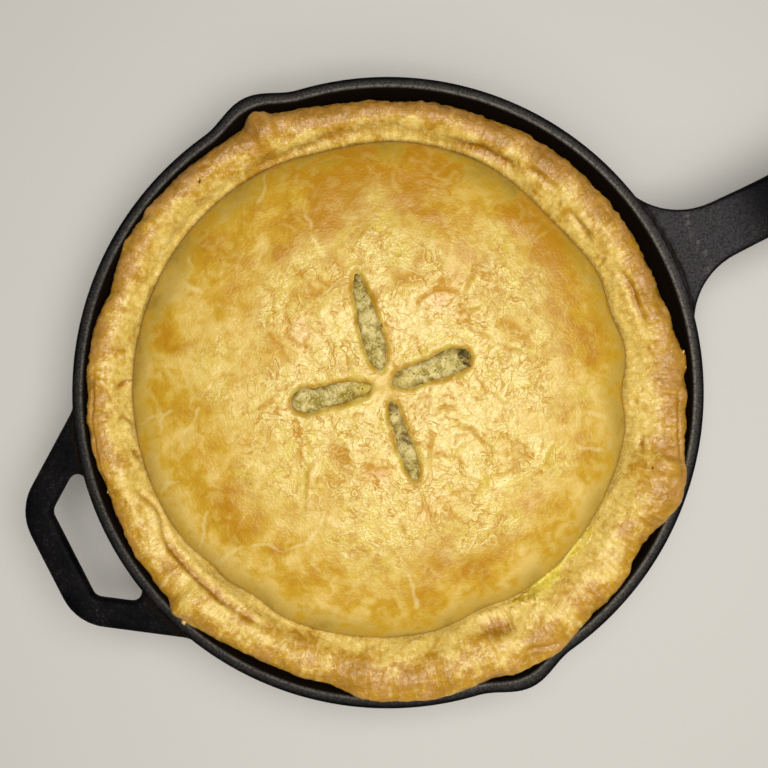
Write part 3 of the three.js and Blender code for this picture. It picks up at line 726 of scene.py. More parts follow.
# Folds of the egg skin, as a line of x and y, half-width, depth and how brown.
# Below zero in depth the fold stands up.
FOLDS = (
    (((65.6, 42.4), (62.9, 35.9), (59.7, 31.5), (54.8, 27.9), (50.1, 19.2)), 0.9, -0.5, 0.5),
    (((44.4, 20.4), (48.3, 18.8), (49.4, 16.7), (47.9, 12), (48.1, 9.3), (51.9, 4.8), (54.5, -0.5)),
     0.9, -0.5, 0.6),
    (((54.5, -0.5), (62, -8), (71.6, -19)), 0.9, -0.4, 0.4),
    (((49.4, 16.7), (53.3, 17.4), (57.7, 16.7)), 0.8, -0.4, 0.5),
    (((22.3, -23.6), (23.5, -28.7), (27.8, -32.2), (29, -37.3), (32.2, -46.1)), 0.9, -0.5, 0.55),
    (((32.2, -46.1), (39.3, -50.7), (50.8, -49.5)), 0.9, -0.4, 0.4),
    (((14.1, -15.9), (16.8, -17.7), (20.6, -17.5), (24.5, -20.2), (26.8, -25)), 0.8, -0.4, 0.5),
    (((11.4, -21.3), (8, -29.3), (5.5, -33.3), (1.4, -40.3)), 0.8, -0.4, 0.35),
    (((5.5, -33.3), (9.4, -36), (15, -39.5), (16.7, -44.1), (15.3, -48.6), (20.3, -55.4)), 0.8, -0.4, 0.4),
    (((-42.7, 8.3), (-45.6, -0.7), (-48.9, -6.7), (-48.8, -12.7), (-46.9, -14.7)), 0.9, -0.4, 0.5),
    (((-41.3, -12.7), (-46.9, -14.7), (-50.8, -19.1), (-53.6, -24), (-60.8, -36.6)), 0.9, -0.5, 0.5),
    (((39.2, -12.5), (41.7, -19.3), (45.4, -26.5), (50.5, -31.1)), 0.8, -0.3, 0.35),
    (((-62.1, 19.4), (-54.1, 20.1), (-46.2, 21)), 0.9, -0.4, 0.4),
    # Creases where the brown has gathered
    (((29.3, 29.1), (32, 33.1), (37.4, 33.4), (41.9, 33.5), (45.5, 31.4), (50.5, 27.9), (51.6, 24.2)),
     1.1, 0.6, 0.95),
    (((32.7, 27.5), (31.5, 22.9), (30.4, 19)), 0.7, 0.4, 0.5),
    (((-6.4, 63.9), (-5.4, 60.5), (-1.3, 57.2), (2.7, 55.7)), 1.0, 0.5, 0.7),
    (((-17.3, 56.4), (-12.1, 57.7), (-8.1, 56.6), (-4.1, 57.2)), 1.4, 0.5, 0.8),
    (((-29.4, 48.3), (-29.2, 42.9), (-28, 38.9), (-24.9, 37.7), (-21.8, 39.3)), 0.9, 0.5, 0.7),
    (((23.8, 50.9), (29.1, 46.7), (34.4, 41.5), (39.4, 38)), 1.5, 0.5, 0.7),
    (((-32.7, -7), (-34.5, -13.7), (-34.3, -21.4), (-33.7, -24.6)), 2.2, 0.6, 0.75),
    (((-24.3, -25.1), (-21.6, -29), (-16.6, -31.1), (-14.1, -31.8)), 0.9, 0.5, 0.7),
    (((-25.4, -29.4), (-22.5, -32.4), (-25.2, -36.3)), 0.9, 0.5, 0.7),
    (((-38.9, 51.8), (-36.5, 42.8), (-36.2, 33.8)), 1.5, 0.5, 0.7),
    (((-27.2, 56.6), (-27.1, 49.2), (-32.1, 43.3)), 1.0, 0.4, 0.6),
    (((62.3, 8), (65.9, 2.6), (69.1, -4.7)), 1.7, 0.5, 0.6),
    (((-5.8, -45.5), (-7.4, -54.4), (-7.3, -58.4), (-10.9, -67.8)), 0.8, 0.7, 0.3),
)

# Pale veins, as lines of x and y
VEINS = (
    ((1.6, 92.8), (2.4, 88.7), (0.5, 81.8), (1.0, 75.2), (1.2, 70.3)),
    ((-8, 121), (-10.9, 113), (-15, 109)),
    ((-59.7, 106), (-57.4, 100), (-57.7, 95)),
    ((-64, 89.7), (-62, 85.6), (-58.9, 81.9)),
    ((-102.8, 43.9), (-101.3, 40.5), (-104.6, 31.6)),
    ((81, -49.7), (84.4, -53.4), (88.2, -56.4)),
    ((69.6, -62.4), (74.9, -66.5), (79.7, -70.5)),
    ((-113, 38), (-105.5, 39.3), (-96.4, 37.5)),
    ((-82.4, 32.9), (-87, 28.8), (-95.4, 25), (-97.7, 20.3)),
    ((-120, 4.7), (-115.4, 7.3), (-107.2, 6.3)),
    ((-33, -74.7), (-29.2, -80.8), (-29.8, -89.4), (-33, -97.2)),
    ((-102, -13), (-107.4, -20.1), (-113.5, -26.7)),
    ((-108.3, -37.6), (-95.1, -34.4), (-81.4, -39.2), (-77.5, -45.3), (-66.5, -46.4), (-56.2, -42.8)),
    ((-66.9, -54.5), (-66, -61.2)),
)


VENTS_WITHIN = 75  # far from every vent's lip beyond this radius
VENT_POINTS = 48  # along each side
VENT_WAVES = ((8, 3.3, 0.8), (3, 4.3, 0.3))  # rows for uneven()


def vent_outline(inner, outer, widths):
    """A vent's outline, wavy as a knife leaves it in soft dough."""
    inner, outer = np.array(inner, float), np.array(outer, float)
    length = np.hypot(*(outer - inner))
    along = (outer - inner) / length
    across = np.array([-along[1], along[0]])
    share = (1 - np.cos(np.linspace(0, np.pi, VENT_POINTS))) / 2
    ends = (1 - np.abs(2 * share - 1) ** 9) ** 0.5
    half = np.interp(share, *np.array(widths, float).T) / 2 * ends
    half[2:-2] = (half[:-4] + half[1:-3] + half[2:-2] + half[3:-1] + half[4:]) / 5
    sides = []
    for sign in (-1, 1):
        # Each side and each vent has waves of its own
        wave = uneven(share * length, sign * 30 + 0 * share, length + 0 * share, VENT_WAVES)
        reach = sign * (half + wave * ends)
        sides.append(inner + (share * length)[:, None] * along + reach[:, None] * across)
    return np.concatenate([sides[0], sides[1][-2:0:-1]])


def from_lips(x, y):
    """For each point, its distance from the nearest vent's lip, below zero
    inside the vent, and the nearest place on the lip."""
    best = np.full(x.shape, 99.0)
    nearest = np.stack([x, y], -1)
    near = np.hypot(x, y) < VENTS_WITHIN
    for vent in VENTS:
        outline = vent_outline(*vent)
        closed = np.concatenate([outline, outline[:1]])
        away, _, place, _ = distance_to(closed, x[near], y[near])
        start, end = closed[:-1], closed[1:]
        px, py = x[near][:, None], y[near][:, None]
        spans = (start[:, 1] > py) != (end[:, 1] > py)
        rise = end[:, 1] - start[:, 1]
        cut = start[:, 0] + (py - start[:, 1]) * (end[:, 0] - start[:, 0]) / np.where(rise == 0, 1, rise)
        inside = (spans & (cut > px)).sum(1) % 2 == 1
        signed = np.where(inside, -away, away)
        closer = np.abs(signed) < np.abs(best[near])
        best[near] = np.where(closer, signed, best[near])
        nearest[near] = np.where(closer[:, None], place, nearest[near])
    return best, nearest


def gathered_at_lips(x, y, power):
    """The points, drawn in towards a vent's lip where they are near it, with
    their distance from the nearest lip, and the nearest place on it."""
    lips, nearest = from_lips(x, y)
    pull = np.where(np.abs(lips) < LIP_REACH, (np.abs(lips) / LIP_REACH) ** power, 1)
    x = nearest[:, 0] + (x - nearest[:, 0]) * pull
    y = nearest[:, 1] + (y - nearest[:, 1]) * pull
    return x, y, lips * pull, nearest


def spots(x, y, table):
    return sum(strength * spot(x, y, (px, py), size) for px, py, size, strength in table)


def crinkle_share(x, y):
    """Where the egg skin is crinkled: over the flat of the dome."""
    centre = from_view(*CRINKLED_MIDDLE)
    away = np.hypot(x - centre[0], y - centre[1])
    patchy = 22 * lumps(x, y, 0 * x, 22, 5.5)
    return 1 - smooth(away + patchy, *CRINKLED_ENDS)


def folds(x, y):
    """The relief of the folds in the egg skin, and the brown along them."""
    relief, brown = 0 * x, 0 * x
    for line, half_width, depth, strength in FOLDS:
        line = np.array(line)
        low, high = line.min(0) - 8, line.max(0) + 8
        near = (x > low[0]) & (x < high[0]) & (y > low[1]) & (y < high[1])
        nx, ny = x[near], y[near]
        # A fold wanders a little between the places given
        wander = 1.0 * lumps(nx, ny, 0 * nx, 5, 6.6), 1.0 * lumps(nx, ny, 0 * nx, 5, 9.9)
        middle = groove(line, nx + wander[0], ny + wander[1], half_width)[0]
        relief[near] -= 1.5 * depth * middle
        brown[near] = np.maximum(brown[near], np.clip(1.7 * strength * middle, 0, 1))
    return relief, brown


def lid_relief(x, y, lips, crinkled):
    """How far the lid stands above the plain dome, but for its folds."""
    share = np.hypot(x, y) / valley_radius(turn_of(x, y))
    inside = 1 - smooth(share, 0.93, 1.0)
    flat = 0 * x
    relief = uneven(x, y, flat, LID_LUMPS)
    # The skin's puckers: narrow ridges where a slow pattern passes its middle
    for size, seed, high in PUCKERS:
        ridge = np.exp(-((lumps(x, y, flat, size, seed, 3) / 0.09) ** 2))
        relief += high * ridge * crinkled * smooth(lumps(x, y, flat, 9, seed + 3), -0.25, 0.25)
    ragged = LIP_WIDE + 0.6 * lumps(x, y, flat, 6, 31.5)
    relief -= LIP_DROP * np.exp(-((np.clip(lips, 0, None) / ragged) ** 2))
    bank = BANK_RISE * np.exp(-(((lips - 2 * ragged) / BANK_HALF) ** 2))
    relief += bank * smooth(lumps(x, y, flat, 8, 32.5), -0.4, 0.4)
    # The crease where the lid dips under the roll
    crease = CREASE_DEPTH * np.exp(-(((1 - share) * VALLEY_RADIUS / CREASE_HALF) ** 2))
    return relief * inside - crease


def coarse_underside(faces, kept):
    """Faces for the hidden underside: the top's, with each block of points drawn
    together into one, except for the points that are kept."""
    number = np.arange(LID_CELLS**2)
    row, column = np.divmod(number, LID_CELLS)
    block = row // UNDER_BLOCK * LID_CELLS + column // UNDER_BLOCK
    drawn = ~kept
    chosen = number.copy()
    _, first = np.unique(block[drawn], return_index=True)
    lead = dict(zip(block[drawn][first], number[drawn][first]))
    chosen[drawn] = [lead[b] for b in block[drawn]]
    return [list(dict.fromkeys(face)) for face in chosen[faces].tolist()]


def lid_measures(x, y, share, turn, lips, crinkled, fold_brown):
    """What the lid's material has to know at each point of the top."""
    flat = 0 * x
    brown = spots(x, y, BROWNED) + 0.15 + 0.25 * smooth(share, 0.35, 0.75) * (1 - smooth(share, 0.85, 0.97))
    far = np.cos(np.radians(turn - FAR_TURN))
    brown += smooth(share, 0.5, 0.8) * np.where(far > 0, 0.28, 0.04) * far
    wander = [1.3 * lumps(x, y, flat, 6, seed) for seed in (36.5, 37.5)]
    vein = np.min([distance_to(line, x + wander[0], y + wander[1])[0] for line in VEINS], axis=0)
    vein = np.clip(vein + 0.7 * smooth(lumps(x, y, flat, 9, 38.5), -0.1, 0.4), 0, 5)
    # Golden beside the vents, broken up, and painted olive shade right at the lip
    outside = np.clip(lips, 0, None)
    ragged = 1.8 + lumps(x, y, flat, 7, 33.5)
    lip = np.exp(-((outside / ragged) ** 2)) * smooth(lumps(x, y, flat, 6, 34.5), -0.4, 0.4)
    lip = np.clip(lip + 1.1 * spot(x, y, (14.5, 43), 4.5), 0, 1) * smooth(6 - lips, 0, 3)
    vent_lip_shade = 0.45 * np.exp(-((outside / 1.2) ** 2)) * smooth(lumps(x, y, flat, 5, 35.5), -0.9, 0.1)
    crinkled = crinkled * (1 - 0.7 * spot(x, y, (0, 4), 8))
    glossy = crinkled * np.clip(1 - spots(x, y, DULLED), 0, 1)
    # Painted pinkish highlights on the glossy skin
    pink_highlight = 0.7 * np.clip(spots(x, y, PINK_HIGHLIGHTS), 0, 1)
    # The dull side, darkened with painted shade, and painted shade in the crease where the lid meets the
    # roll, stronger on the far side
    wide = 0.015 * np.cos(np.radians(turn - DULL_SHADED_TURN)) + 0.02 * lumps(x, y, flat, 25, 3.3)
    joint = mix(0.25, 0.5, far_side(turn)) * smooth(share, 0.984, 0.998) * joint_shade_share(turn)
    side = smooth(share + wide, 0.87, 1.01) + joint
    return {
        "browned": brown, "crinkled": crinkled, "glossy": glossy, "side": side, "folded": fold_brown,
        "vein": vein, "lip": lip, "pink_highlight": pink_highlight, "vent_lip_shade": vent_lip_shade,
    }


def lid():
    """The lid of the crust: a closed shell, with the vents cut right through."""
    share, turn, faces = disc_grid(LID_CELLS)
    x, y = at(turn, share**LID_SPREAD * valley_radius(turn))
    x, y, lips, nearest = gathered_at_lips(x, y, 0.7)

    faces = faces[lips[faces].mean(1) > 0]
    ways = np.concatenate([faces[:, [i, (i + 1) % 4]] for i in range(4)])
    keys = ways[:, 0] * len(x) + ways[:, 1]
    border = ways[~np.isin(keys, ways[:, 1] * len(x) + ways[:, 0])]
    at_lip = np.zeros(len(x), bool)
    at_lip[border.ravel()] = True
    at_edge = share > 0.999
    at_lip &= ~at_edge
    x = np.where(at_lip, nearest[:, 0], x)
    y = np.where(at_lip, nearest[:, 1], y)
    lips = np.where(at_lip, 0, lips)

    crinkled = crinkle_share(x, y)
    fold_relief, fold_brown = folds(x, y)
    z = dome_height(x, y) + lid_relief(x, y, lips, crinkled) + fold_relief
    below = under_lid(x, y)
    below = np.where(at_lip, below - 0.3, below)
    skirt = 1 + np.where(at_edge, SKIRT, 0) / np.maximum(np.hypot(x, y), 1)
    low = np.stack([x * skirt, y * skirt, below], 1)
    count = len(x)
    under = [face for face in coarse_underside(faces, at_lip | at_edge) if len(face) > 2]
    every_face = faces.tolist() + [[point + count for point in face[::-1]] for face in under]
    every_face += [[a, a + count, b + count, b] for a, b in border.tolist()]
    points = np.concatenate([np.stack([x, y, z], 1), low])
    used = np.unique([point for face in every_face for point in face])
    number = np.full(2 * count, -1)
    number[used] = np.arange(len(used))
    number = number.tolist()
    every_face = [[number[point] for point in face] for face in every_face]
    piece = new_piece("pie_lid", points[used], every_face, egg_washed_shortcrust(), "crust")

    measures = lid_measures(x, y, share, turn, lips, crinkled, fold_brown)
    record(piece, **{name: np.concatenate([values, values])[used] for name, values in measures.items()})
    lay_lid_flat(piece, x, y, at_lip, at_edge, used, every_face)
    return piece


def lay_lid_flat(piece, x, y, at_lip, at_edge, used, faces):
    """The lid's bake map: its top as seen from above, and its hidden underside
    small in one corner. The walls of a vent lie inside the vent's opening, and
    the outer wall lies just outside the edge."""
    half = VALLEY_RADIUS + VALLEY_SHIFT + 5
    count = len(x)
    top = np.stack([x, y], 1)
    under = top * UNDERSIDE_SCALE + (half - 1) * (1 - UNDERSIDE_SCALE)
    wall = top.copy()
    for inner, outer, _ in VENTS:
        along = np.linspace(np.array(inner, float), np.array(outer, float), 60)
        away, _, nearest, _ = distance_to(along[4:-4], x, y)
        here = at_lip & (away < 9)
        wall[here] = mix(top[here], nearest[here], 0.4)
    wall[at_edge] *= 1 + 3 / np.hypot(x, y)[at_edge][:, None]
    point = used[corners_of(piece)]
    low = point >= count
    face = np.repeat(np.arange(len(faces)), [len(f) for f in faces])
    lows = np.bincount(face, low)[face]
    size = np.bincount(face)[face]
    place = np.concatenate([top, under])[point]
    walled = low & (lows < size)
    place[walled] = wall[point[walled] - count]
    lay_flat(piece, place / (2 * half) + 0.5)


# ---- The rolled edge ----

ROLL_SIDES = 1120
ROLL_RINGS = 44  # from the valley to the roll's outer edge
ROLL_GATHER = 0.35  # how much closer the rings lie towards the outer edge
ROLL_LUMPS = ((19, 11.5, 1.1), (8, 12.5, 0.7))  # rows for uneven()
SHOULDER = (0.35, 0.75)  # shares of the way out between which the outer shoulder begins

# Folds, cracks and furrows in the roll: the line as (turn, radius), half-width,
# depth, height of the outer and inner banks, and how brown the bottom is
FURROWS = (
    # Long furrow between the roll's crest and a second ridge inside it
    (((99, 124.5), (94, 125.8), (88, 124.7), (77, 125.9), (70, 126.9), (62, 127), (55, 125.2)),
     2.2, 1.6, 0.3, 0.5, 0.45),
    (((51, 124.9), (47, 125.1), (43, 125), (40, 124.7), (36, 124.9), (33, 125.2)), 1.9, 2.4, 0.5, 0.5, 1),
    (((33, 127.2), (29, 126.9), (24, 126.0)), 1.2, 1.1, 0.5, 0.2, 0.55),
    (((19, 122.9), (15, 122.3), (11, 121.6)), 1.2, 1.2, 0.4, 0.3, 0.5),
    (((2, 124.9), (0, 125.6), (357, 126.3), (353, 126.0), (349, 127.2)), 1.5, 2.0, 0.4, 0.4, 0.95),
    # Cracks across the roll where it was pinched
    (((22, 118.6), (21.4, 121.5), (22.5, 124.5)), 0.8, 0.9, 0.2, 0.2, 0.4),
    (((4.6, 117.6), (5.2, 120.5), (6.6, 124)), 0.9, 1.1, 0.2, 0.2, 0.4),
    (((153.4, 130.4), (152.4, 128.3), (151.2, 125.4), (150.8, 123.4)), 1.1, 1.7, 0.7, 0.0, 0.9),
    (((160.2, 131.3), (159, 128), (160.2, 125.6), (162, 123.4)), 0.9, 1.0, 0.4, 0.2, 0.55),
    (((166, 126.2), (167.5, 125.6), (169, 124.9)), 1.0, 0.9, 0.3, 0.2, 0.8),
    (((170.4, 123.4), (172, 123.3)), 1.4, 0.9, 0, 0, 0.6),
    (((175, 129.3), (178, 126.6), (181, 125.1), (184, 125.4)), 1.0, 1.2, 0.3, 0.5, 0.35),
    # Thin lips where the outer edge was tucked under
    (((149, 140.6), (154, 141.2), (159, 141.9), (164, 142), (168, 142.4), (173, 143.4)),
     0.8, 1.1, 0, 0.3, 0.55),
    (((334, 139.2), (331, 139.5), (328, 139.6), (321, 143.2), (317, 146.2)), 0.8, 1.0, 0, 0.3, 0.6),
    (((272, 138.6), (274, 140), (276, 143.0), (279, 145.2)), 0.9, 1.0, 0.3, 0.2, 0.4),
    (((336, 141.6), (334.4, 143.2)), 0.7, 0.9, 0, 0, 0.9),
    # Pits and dimples
    (((264, 122.2), (267, 122.8), (270, 124.2), (273, 125.4)), 3.8, 3.2, 0.1, 0.7, 0.85),
    (((324.6, 123.4), (322.6, 123.7), (320.4, 124.7)), 0.9, 1.3, 0.2, 0.3, 0.7),
    (((332.6, 119.6), (331, 120.2)), 1.3, 0.8, 0, 0, 0.4),
    # The joint of a second fold beside the lid
    (((181, 124.6), (185, 127), (189, 128.4), (194, 127.8), (199, 127.3), (205, 127.4), (217, 127.4)),
     1.3, 2.2, 0.5, 0.8, 0.8),
)

# Patches of the roll that took more colour: turn, radius, size, strength
TOASTED = (
    (112, 131, 11, -0.2), (91, 132, 9, 0.45), (75, 133, 9, 0.45), (42, 134, 10, 0.3), (60, 127, 8, -0.5),
    (90, 141.5, 5, 0.9), (80, 140, 9, 0.35), (103, 138, 12, 0.4), (112, 139, 10, 0.35), (55, 137, 12, 0.35),
    (30, 136, 12, 0.4), (12, 134, 12, 0.05), (358, 134, 10, 0.35), (323, 131.5, 7, 0.5), (316, 135, 11, 0.6),
    (287, 132, 9, 0.4), (272, 137, 9, 0.15), (250, 141, 14, 0.4), (237, 134, 11, 0.75), (222, 136, 9, 0.3),
    (174, 137.8, 6, 0.35), (165, 140, 10, 0.45), (143, 139, 9, 0.3), (128, 139, 9, 0.35),
    (103, 126, 7, -0.55), (163, 127, 7, -0.55), (96, 140, 12, 0.45), (338, 131, 11, 0.35),
    (250, 133, 9, 0.25), (30, 131, 8, 0.2), (196, 140, 8, 0.3), (226, 127, 8, 0.25),
    (296, 139, 12, -0.3), (283, 140, 8, -0.35), (268, 140, 8, -0.2), (268, 124, 6.5, 0.35),
    (66, 139, 12, 0.35), (45, 139, 10, 0.3), (224, 126, 7, 0.35), (190, 128.5, 3, 0.5),
    (203, 127.5, 3, 0.5), (212, 127.5, 3, 0.6),
)
CRUMBLED = ((264, 114.3), (271, 115.5), (275, 118), (279, 122.6))  # rough inner lip


def clear_of_iron(turn, radius, height):
    """The radius, drawn in below the rim to leave room for the wall."""
    wall = inner_wall(np.clip(height, 0, RIM_HEIGHT)) + spout_swing(turn, height, SPOUT_IN) - 0.3
    return np.where(height < RIM_HEIGHT, np.minimum(radius, wall), radius)


def roll_section(turn):
    """The plain section of the roll at each turn, as radius and height: up out
    of the valley, over, down the wall to the foot, and back under."""
    inner, outer = valley_radius(turn)[:, None], edge_radius(turn)[:, None]
    lift = OVERHANG_RISE * smooth(outer, OVERHANG_FROM, OVERHANG_TO)
    waves = sum(rise * np.sin(np.radians(count * turn + phase)) for count, phase, rise in ROLL_WAVES)
    crest = ROLL_HEIGHT + waves[:, None] + lift / 2
    edge = EDGE_HEIGHT + lift
    even = np.linspace(0, 1, ROLL_RINGS)[None]
    share = mix(even, np.sin(np.pi / 2 * even), ROLL_GATHER)
    up = np.clip(share / ROLL_CREST, 0, 1)
    over = np.clip((share - ROLL_CREST) / (1 - ROLL_CREST), 0, 1)
    height = np.where(
        share < ROLL_CREST,
        mix(VALLEY_HEIGHT - CREASE_DEPTH, crest, np.sin(np.pi / 2 * up)),
        mix(edge, crest, np.sqrt(1 - over * over)),
    )
    radius = mix(inner, outer, share)
    hollow = inner_wall(RIM_HEIGHT) - 0.8
    stops = [
        (outer[:, 0], edge[:, 0]),
        (np.minimum(outer[:, 0] - 1, hollow), edge[:, 0] - 3),
        (0 * turn + inner_wall(ROLL_CONTACT) - GAP, 0 * turn + ROLL_CONTACT),
        (0 * turn + inner_wall(ROLL_FOOT) - GAP, 0 * turn + ROLL_FOOT),
        (0 * turn + ROLL_HEEL, 0 * turn + ROLL_FOOT + LID_THICK / 4),
        (inner[:, 0] - 4, 0 * turn + 45),
        (inner[:, 0] - 1.5, 0 * turn + 49),
    ]
    rings_between = (4, 5, 3, 4, 3, 3)
    for (r0, z0), (r1, z1), count in zip(stops, stops[1:], rings_between):
        part = np.arange(1, count + 1)[None] / count
        radius = np.concatenate([radius, mix(r0[:, None], r1[:, None], part)], 1)
        height = np.concatenate([height, mix(z0[:, None], z1[:, None], part)], 1)
    before, here, after = slice(ROLL_RINGS - 4, -2), slice(ROLL_RINGS - 3, -1), slice(ROLL_RINGS - 2, None)
    for values in (radius, height, radius, height):  # rounds the corners off below the edge, twice
        values[:, here] = (values[:, before] + 2 * values[:, here] + values[:, after]) / 4
    return radius, height, share[0]


def furrow_marks(x, y, share):
    """The relief of the roll's furrows, and how dark their bottoms are."""
    relief, crease = 0 * x, 0 * x
    for line, half_width, depth, outer_bank, inner_bank, brown in FURROWS:
        path = np.stack(at(*np.array(line, float).T), 1)
        middle, run = path.mean(0), path[-1] - path[0]
        near = np.hypot(x - middle[0], y - middle[1]) < 0.6 * np.hypot(*run) + 14
        near &= share < 1.2
        dip, left, right = groove(path, x[near], y[near], half_width)
        clockwise = run[0] * middle[1] - run[1] * middle[0] > 0
        outer, inner = (left, right) if clockwise else (right, left)
        relief[near] += outer_bank * outer + inner_bank * inner - depth * dip
        crease[near] = np.maximum(crease[near], np.clip(1.6 * brown * dip**1.6, 0, 1))
    return relief, crease


def roll_relief(turns, radius, height, share):
    """How far the roll stands out of its plain section, with the marks that its
    material needs too: wrinkles, where it has crumbled, the crumbs and creases."""
    x, y = at(turns, radius)
    # Towards the near side the outer edge is smoother
    calm = 1 - 0.65 * smooth(share, 0.7, 0.95) * (1 - far_side(turns))
    relief = uneven(x, y, height, ROLL_LUMPS) + 0.4 * lumps(x, y, height, 3.2, 13.5, 3) * calm
    # Short wrinkles across the roll: fine round it, long across it
    wrinkles = lumps(turns * 2.35, radius * 0.25, 0 * radius, 2.6, 14.5)
    wrinkled = (0.2 + 0.5 * smooth(share, *SHOULDER)) * calm
    relief += wrinkled * wrinkles * smooth(lumps(x, y, height, 16, 18.5), -0.5, 0.3)
    furrowed, crease = furrow_marks(x, y, share)
    rough = np.stack(at(*np.array(CRUMBLED, float).T), 1)
    crumbled = 1 - smooth(distance_to(rough, x, y)[0].reshape(x.shape), 2, 5)
    crumb = np.abs(lumps(x, y, height, 3, 15.5))
    relief += furrowed + crumbled * 4 * crumb
    shown = (1 - smooth(share, 1.05, 1.35)) * smooth(share, 0, 0.1)
    return relief * shown, wrinkles, crumbled, crumb, crease


def toasting(turns, x, y, height, share, wrinkles, crumbled, crumb):
    """How brown the roll is, about 0 to 1: most on its outer shoulder."""
    shoulder = smooth(share, *SHOULDER)
    far = np.cos(np.radians(turns - FAR_TURN))
    brown = 0.85 * smooth(share + 0.12 * lumps(x, y, height, 14, 16.5), 0.3, 0.9)
    for turn, radius, size, strength in TOASTED:
        brown += strength * spot(x, y, at(turn, radius), size)
    brown += 0.25 * wrinkles * shoulder + 0.3 * shoulder * far + 0.05
    brown += crumbled * (0.15 - 2.2 * crumb)
    # The inner foot of the roll is painted paler on the near side: painted light on its steep face
    near_side = smooth(degrees_between(turns, FAR_TURN), 30, 90)
    return brown - 0.3 * (1 - smooth(share, 0.05, 0.3)) * near_side


def rolled_edge():
    """The rim of the crust: a closed ring, rolled over and pressed down."""
    turn = np.arange(ROLL_SIDES) * 360 / ROLL_SIDES
    radius, height, top_share = roll_section(turn)
    rings = radius.shape[1]
    turns = np.repeat(turn[:, None], rings, 1)
    share = np.concatenate([top_share, np.linspace(1, 2, rings - ROLL_RINGS)])[None] + 0 * radius

    # The way out of the surface, in the section
    along_r = np.roll(radius, -1, 1) - np.roll(radius, 1, 1)
    along_z = np.roll(height, -1, 1) - np.roll(height, 1, 1)
    size = np.hypot(along_r, along_z) + 1e-9
    out_r, out_z = -along_z / size, along_r / size

    relief, wrinkles, crumbled, crumb, crease = roll_relief(turns, radius, height, share)
    radius, height = radius + out_r * relief, height + out_z * relief
    radius = clear_of_iron(turns, radius, height)

    x, y = at(turns, radius)
    points = np.stack([x, y, height], -1).reshape(-1, 3)
    number = np.arange(ROLL_SIDES * rings).reshape(ROLL_SIDES, rings)
    ahead, beyond = np.roll(number, -1, 1), np.roll(number, -1, 0)
    faces = np.stack([number, ahead, np.roll(beyond, -1, 1), beyond], -1).reshape(-1, 4)
    piece = new_piece("rolled_edge", points, faces, rolled_shortcrust(), "crust")

    toasted = toasting(turns, x, y, height, share, wrinkles, crumbled, crumb)
    # Painted shade in the joint with the lid, stronger on the far side
    joint = mix(0.2, 0.6, far_side(turns)) * (1 - smooth(share, 0.015, 0.05)) * joint_shade_share(turns)
    record(piece, toasted=toasted, crease=np.maximum(crease, joint))
    lay_roll_flat(piece, number, rings)
    return piece


def lay_roll_flat(piece, number, rings):
    """The roll's bake map: cut into strips that lie one above the other."""
    strips, shown = 6, 0.72  # the share of a strip's width that holds the side that shows
    hidden = np.linspace(shown, 1, rings - ROLL_RINGS + 1)[1:]
    across = np.concatenate([np.linspace(0, shown, ROLL_RINGS), hidden, [1]])
    side, ring = np.divmod(np.arange(number.size), rings)
    per_strip = ROLL_SIDES / strips
    strip, start = np.divmod(side, per_strip)
    u = np.stack([start, start, start + 1, start + 1], 1) / per_strip
    v = np.stack([across[ring], across[ring + 1], across[ring + 1], across[ring]], 1)
    v = (strip[:, None] + 0.02 + 0.96 * v * rings / (rings + 1)) / strips
    lay_flat(piece, np.stack([0.004 + 0.992 * u, v], -1))


# ---- The filling ----

FILLING_CELLS = 190
FILLING_MIDDLE, MIDDLE_SHARE = 60, 0.84  # the vents lie within this radius, and the most cells
FILLING_EDGE = 40.3  # height of its upper edge at the wall
FILLING_LUMPS = ((5.5, 22.5, 0.9), (2.2, 23.5, 0.5))  # rows for uneven()

# Places in the vents where the filling is browned or full of herbs: x, y, size,
# strength
SINGED = (
    (-1.3, -6.7, 2.2, 0.9), (-1.8, -22.6, 2.4, 1.3), (-0.5, -15, 2, 0.4), (8.2, 5.3, 1.6, 0.8),
    (40.5, 0.8, 4, 0.75), (9.8, 54.4, 1.6, 0.6), (-29.3, 17.9, 2, 0.7), (28, 6, 3, 0.4),
    (-24.5, 9, 1.6, 0.5),
)
# Places where its sauce is yellow
BUTTERY = ((-7.5, 6.3, 5, 0.85), (8, 3, 6, 0.3))


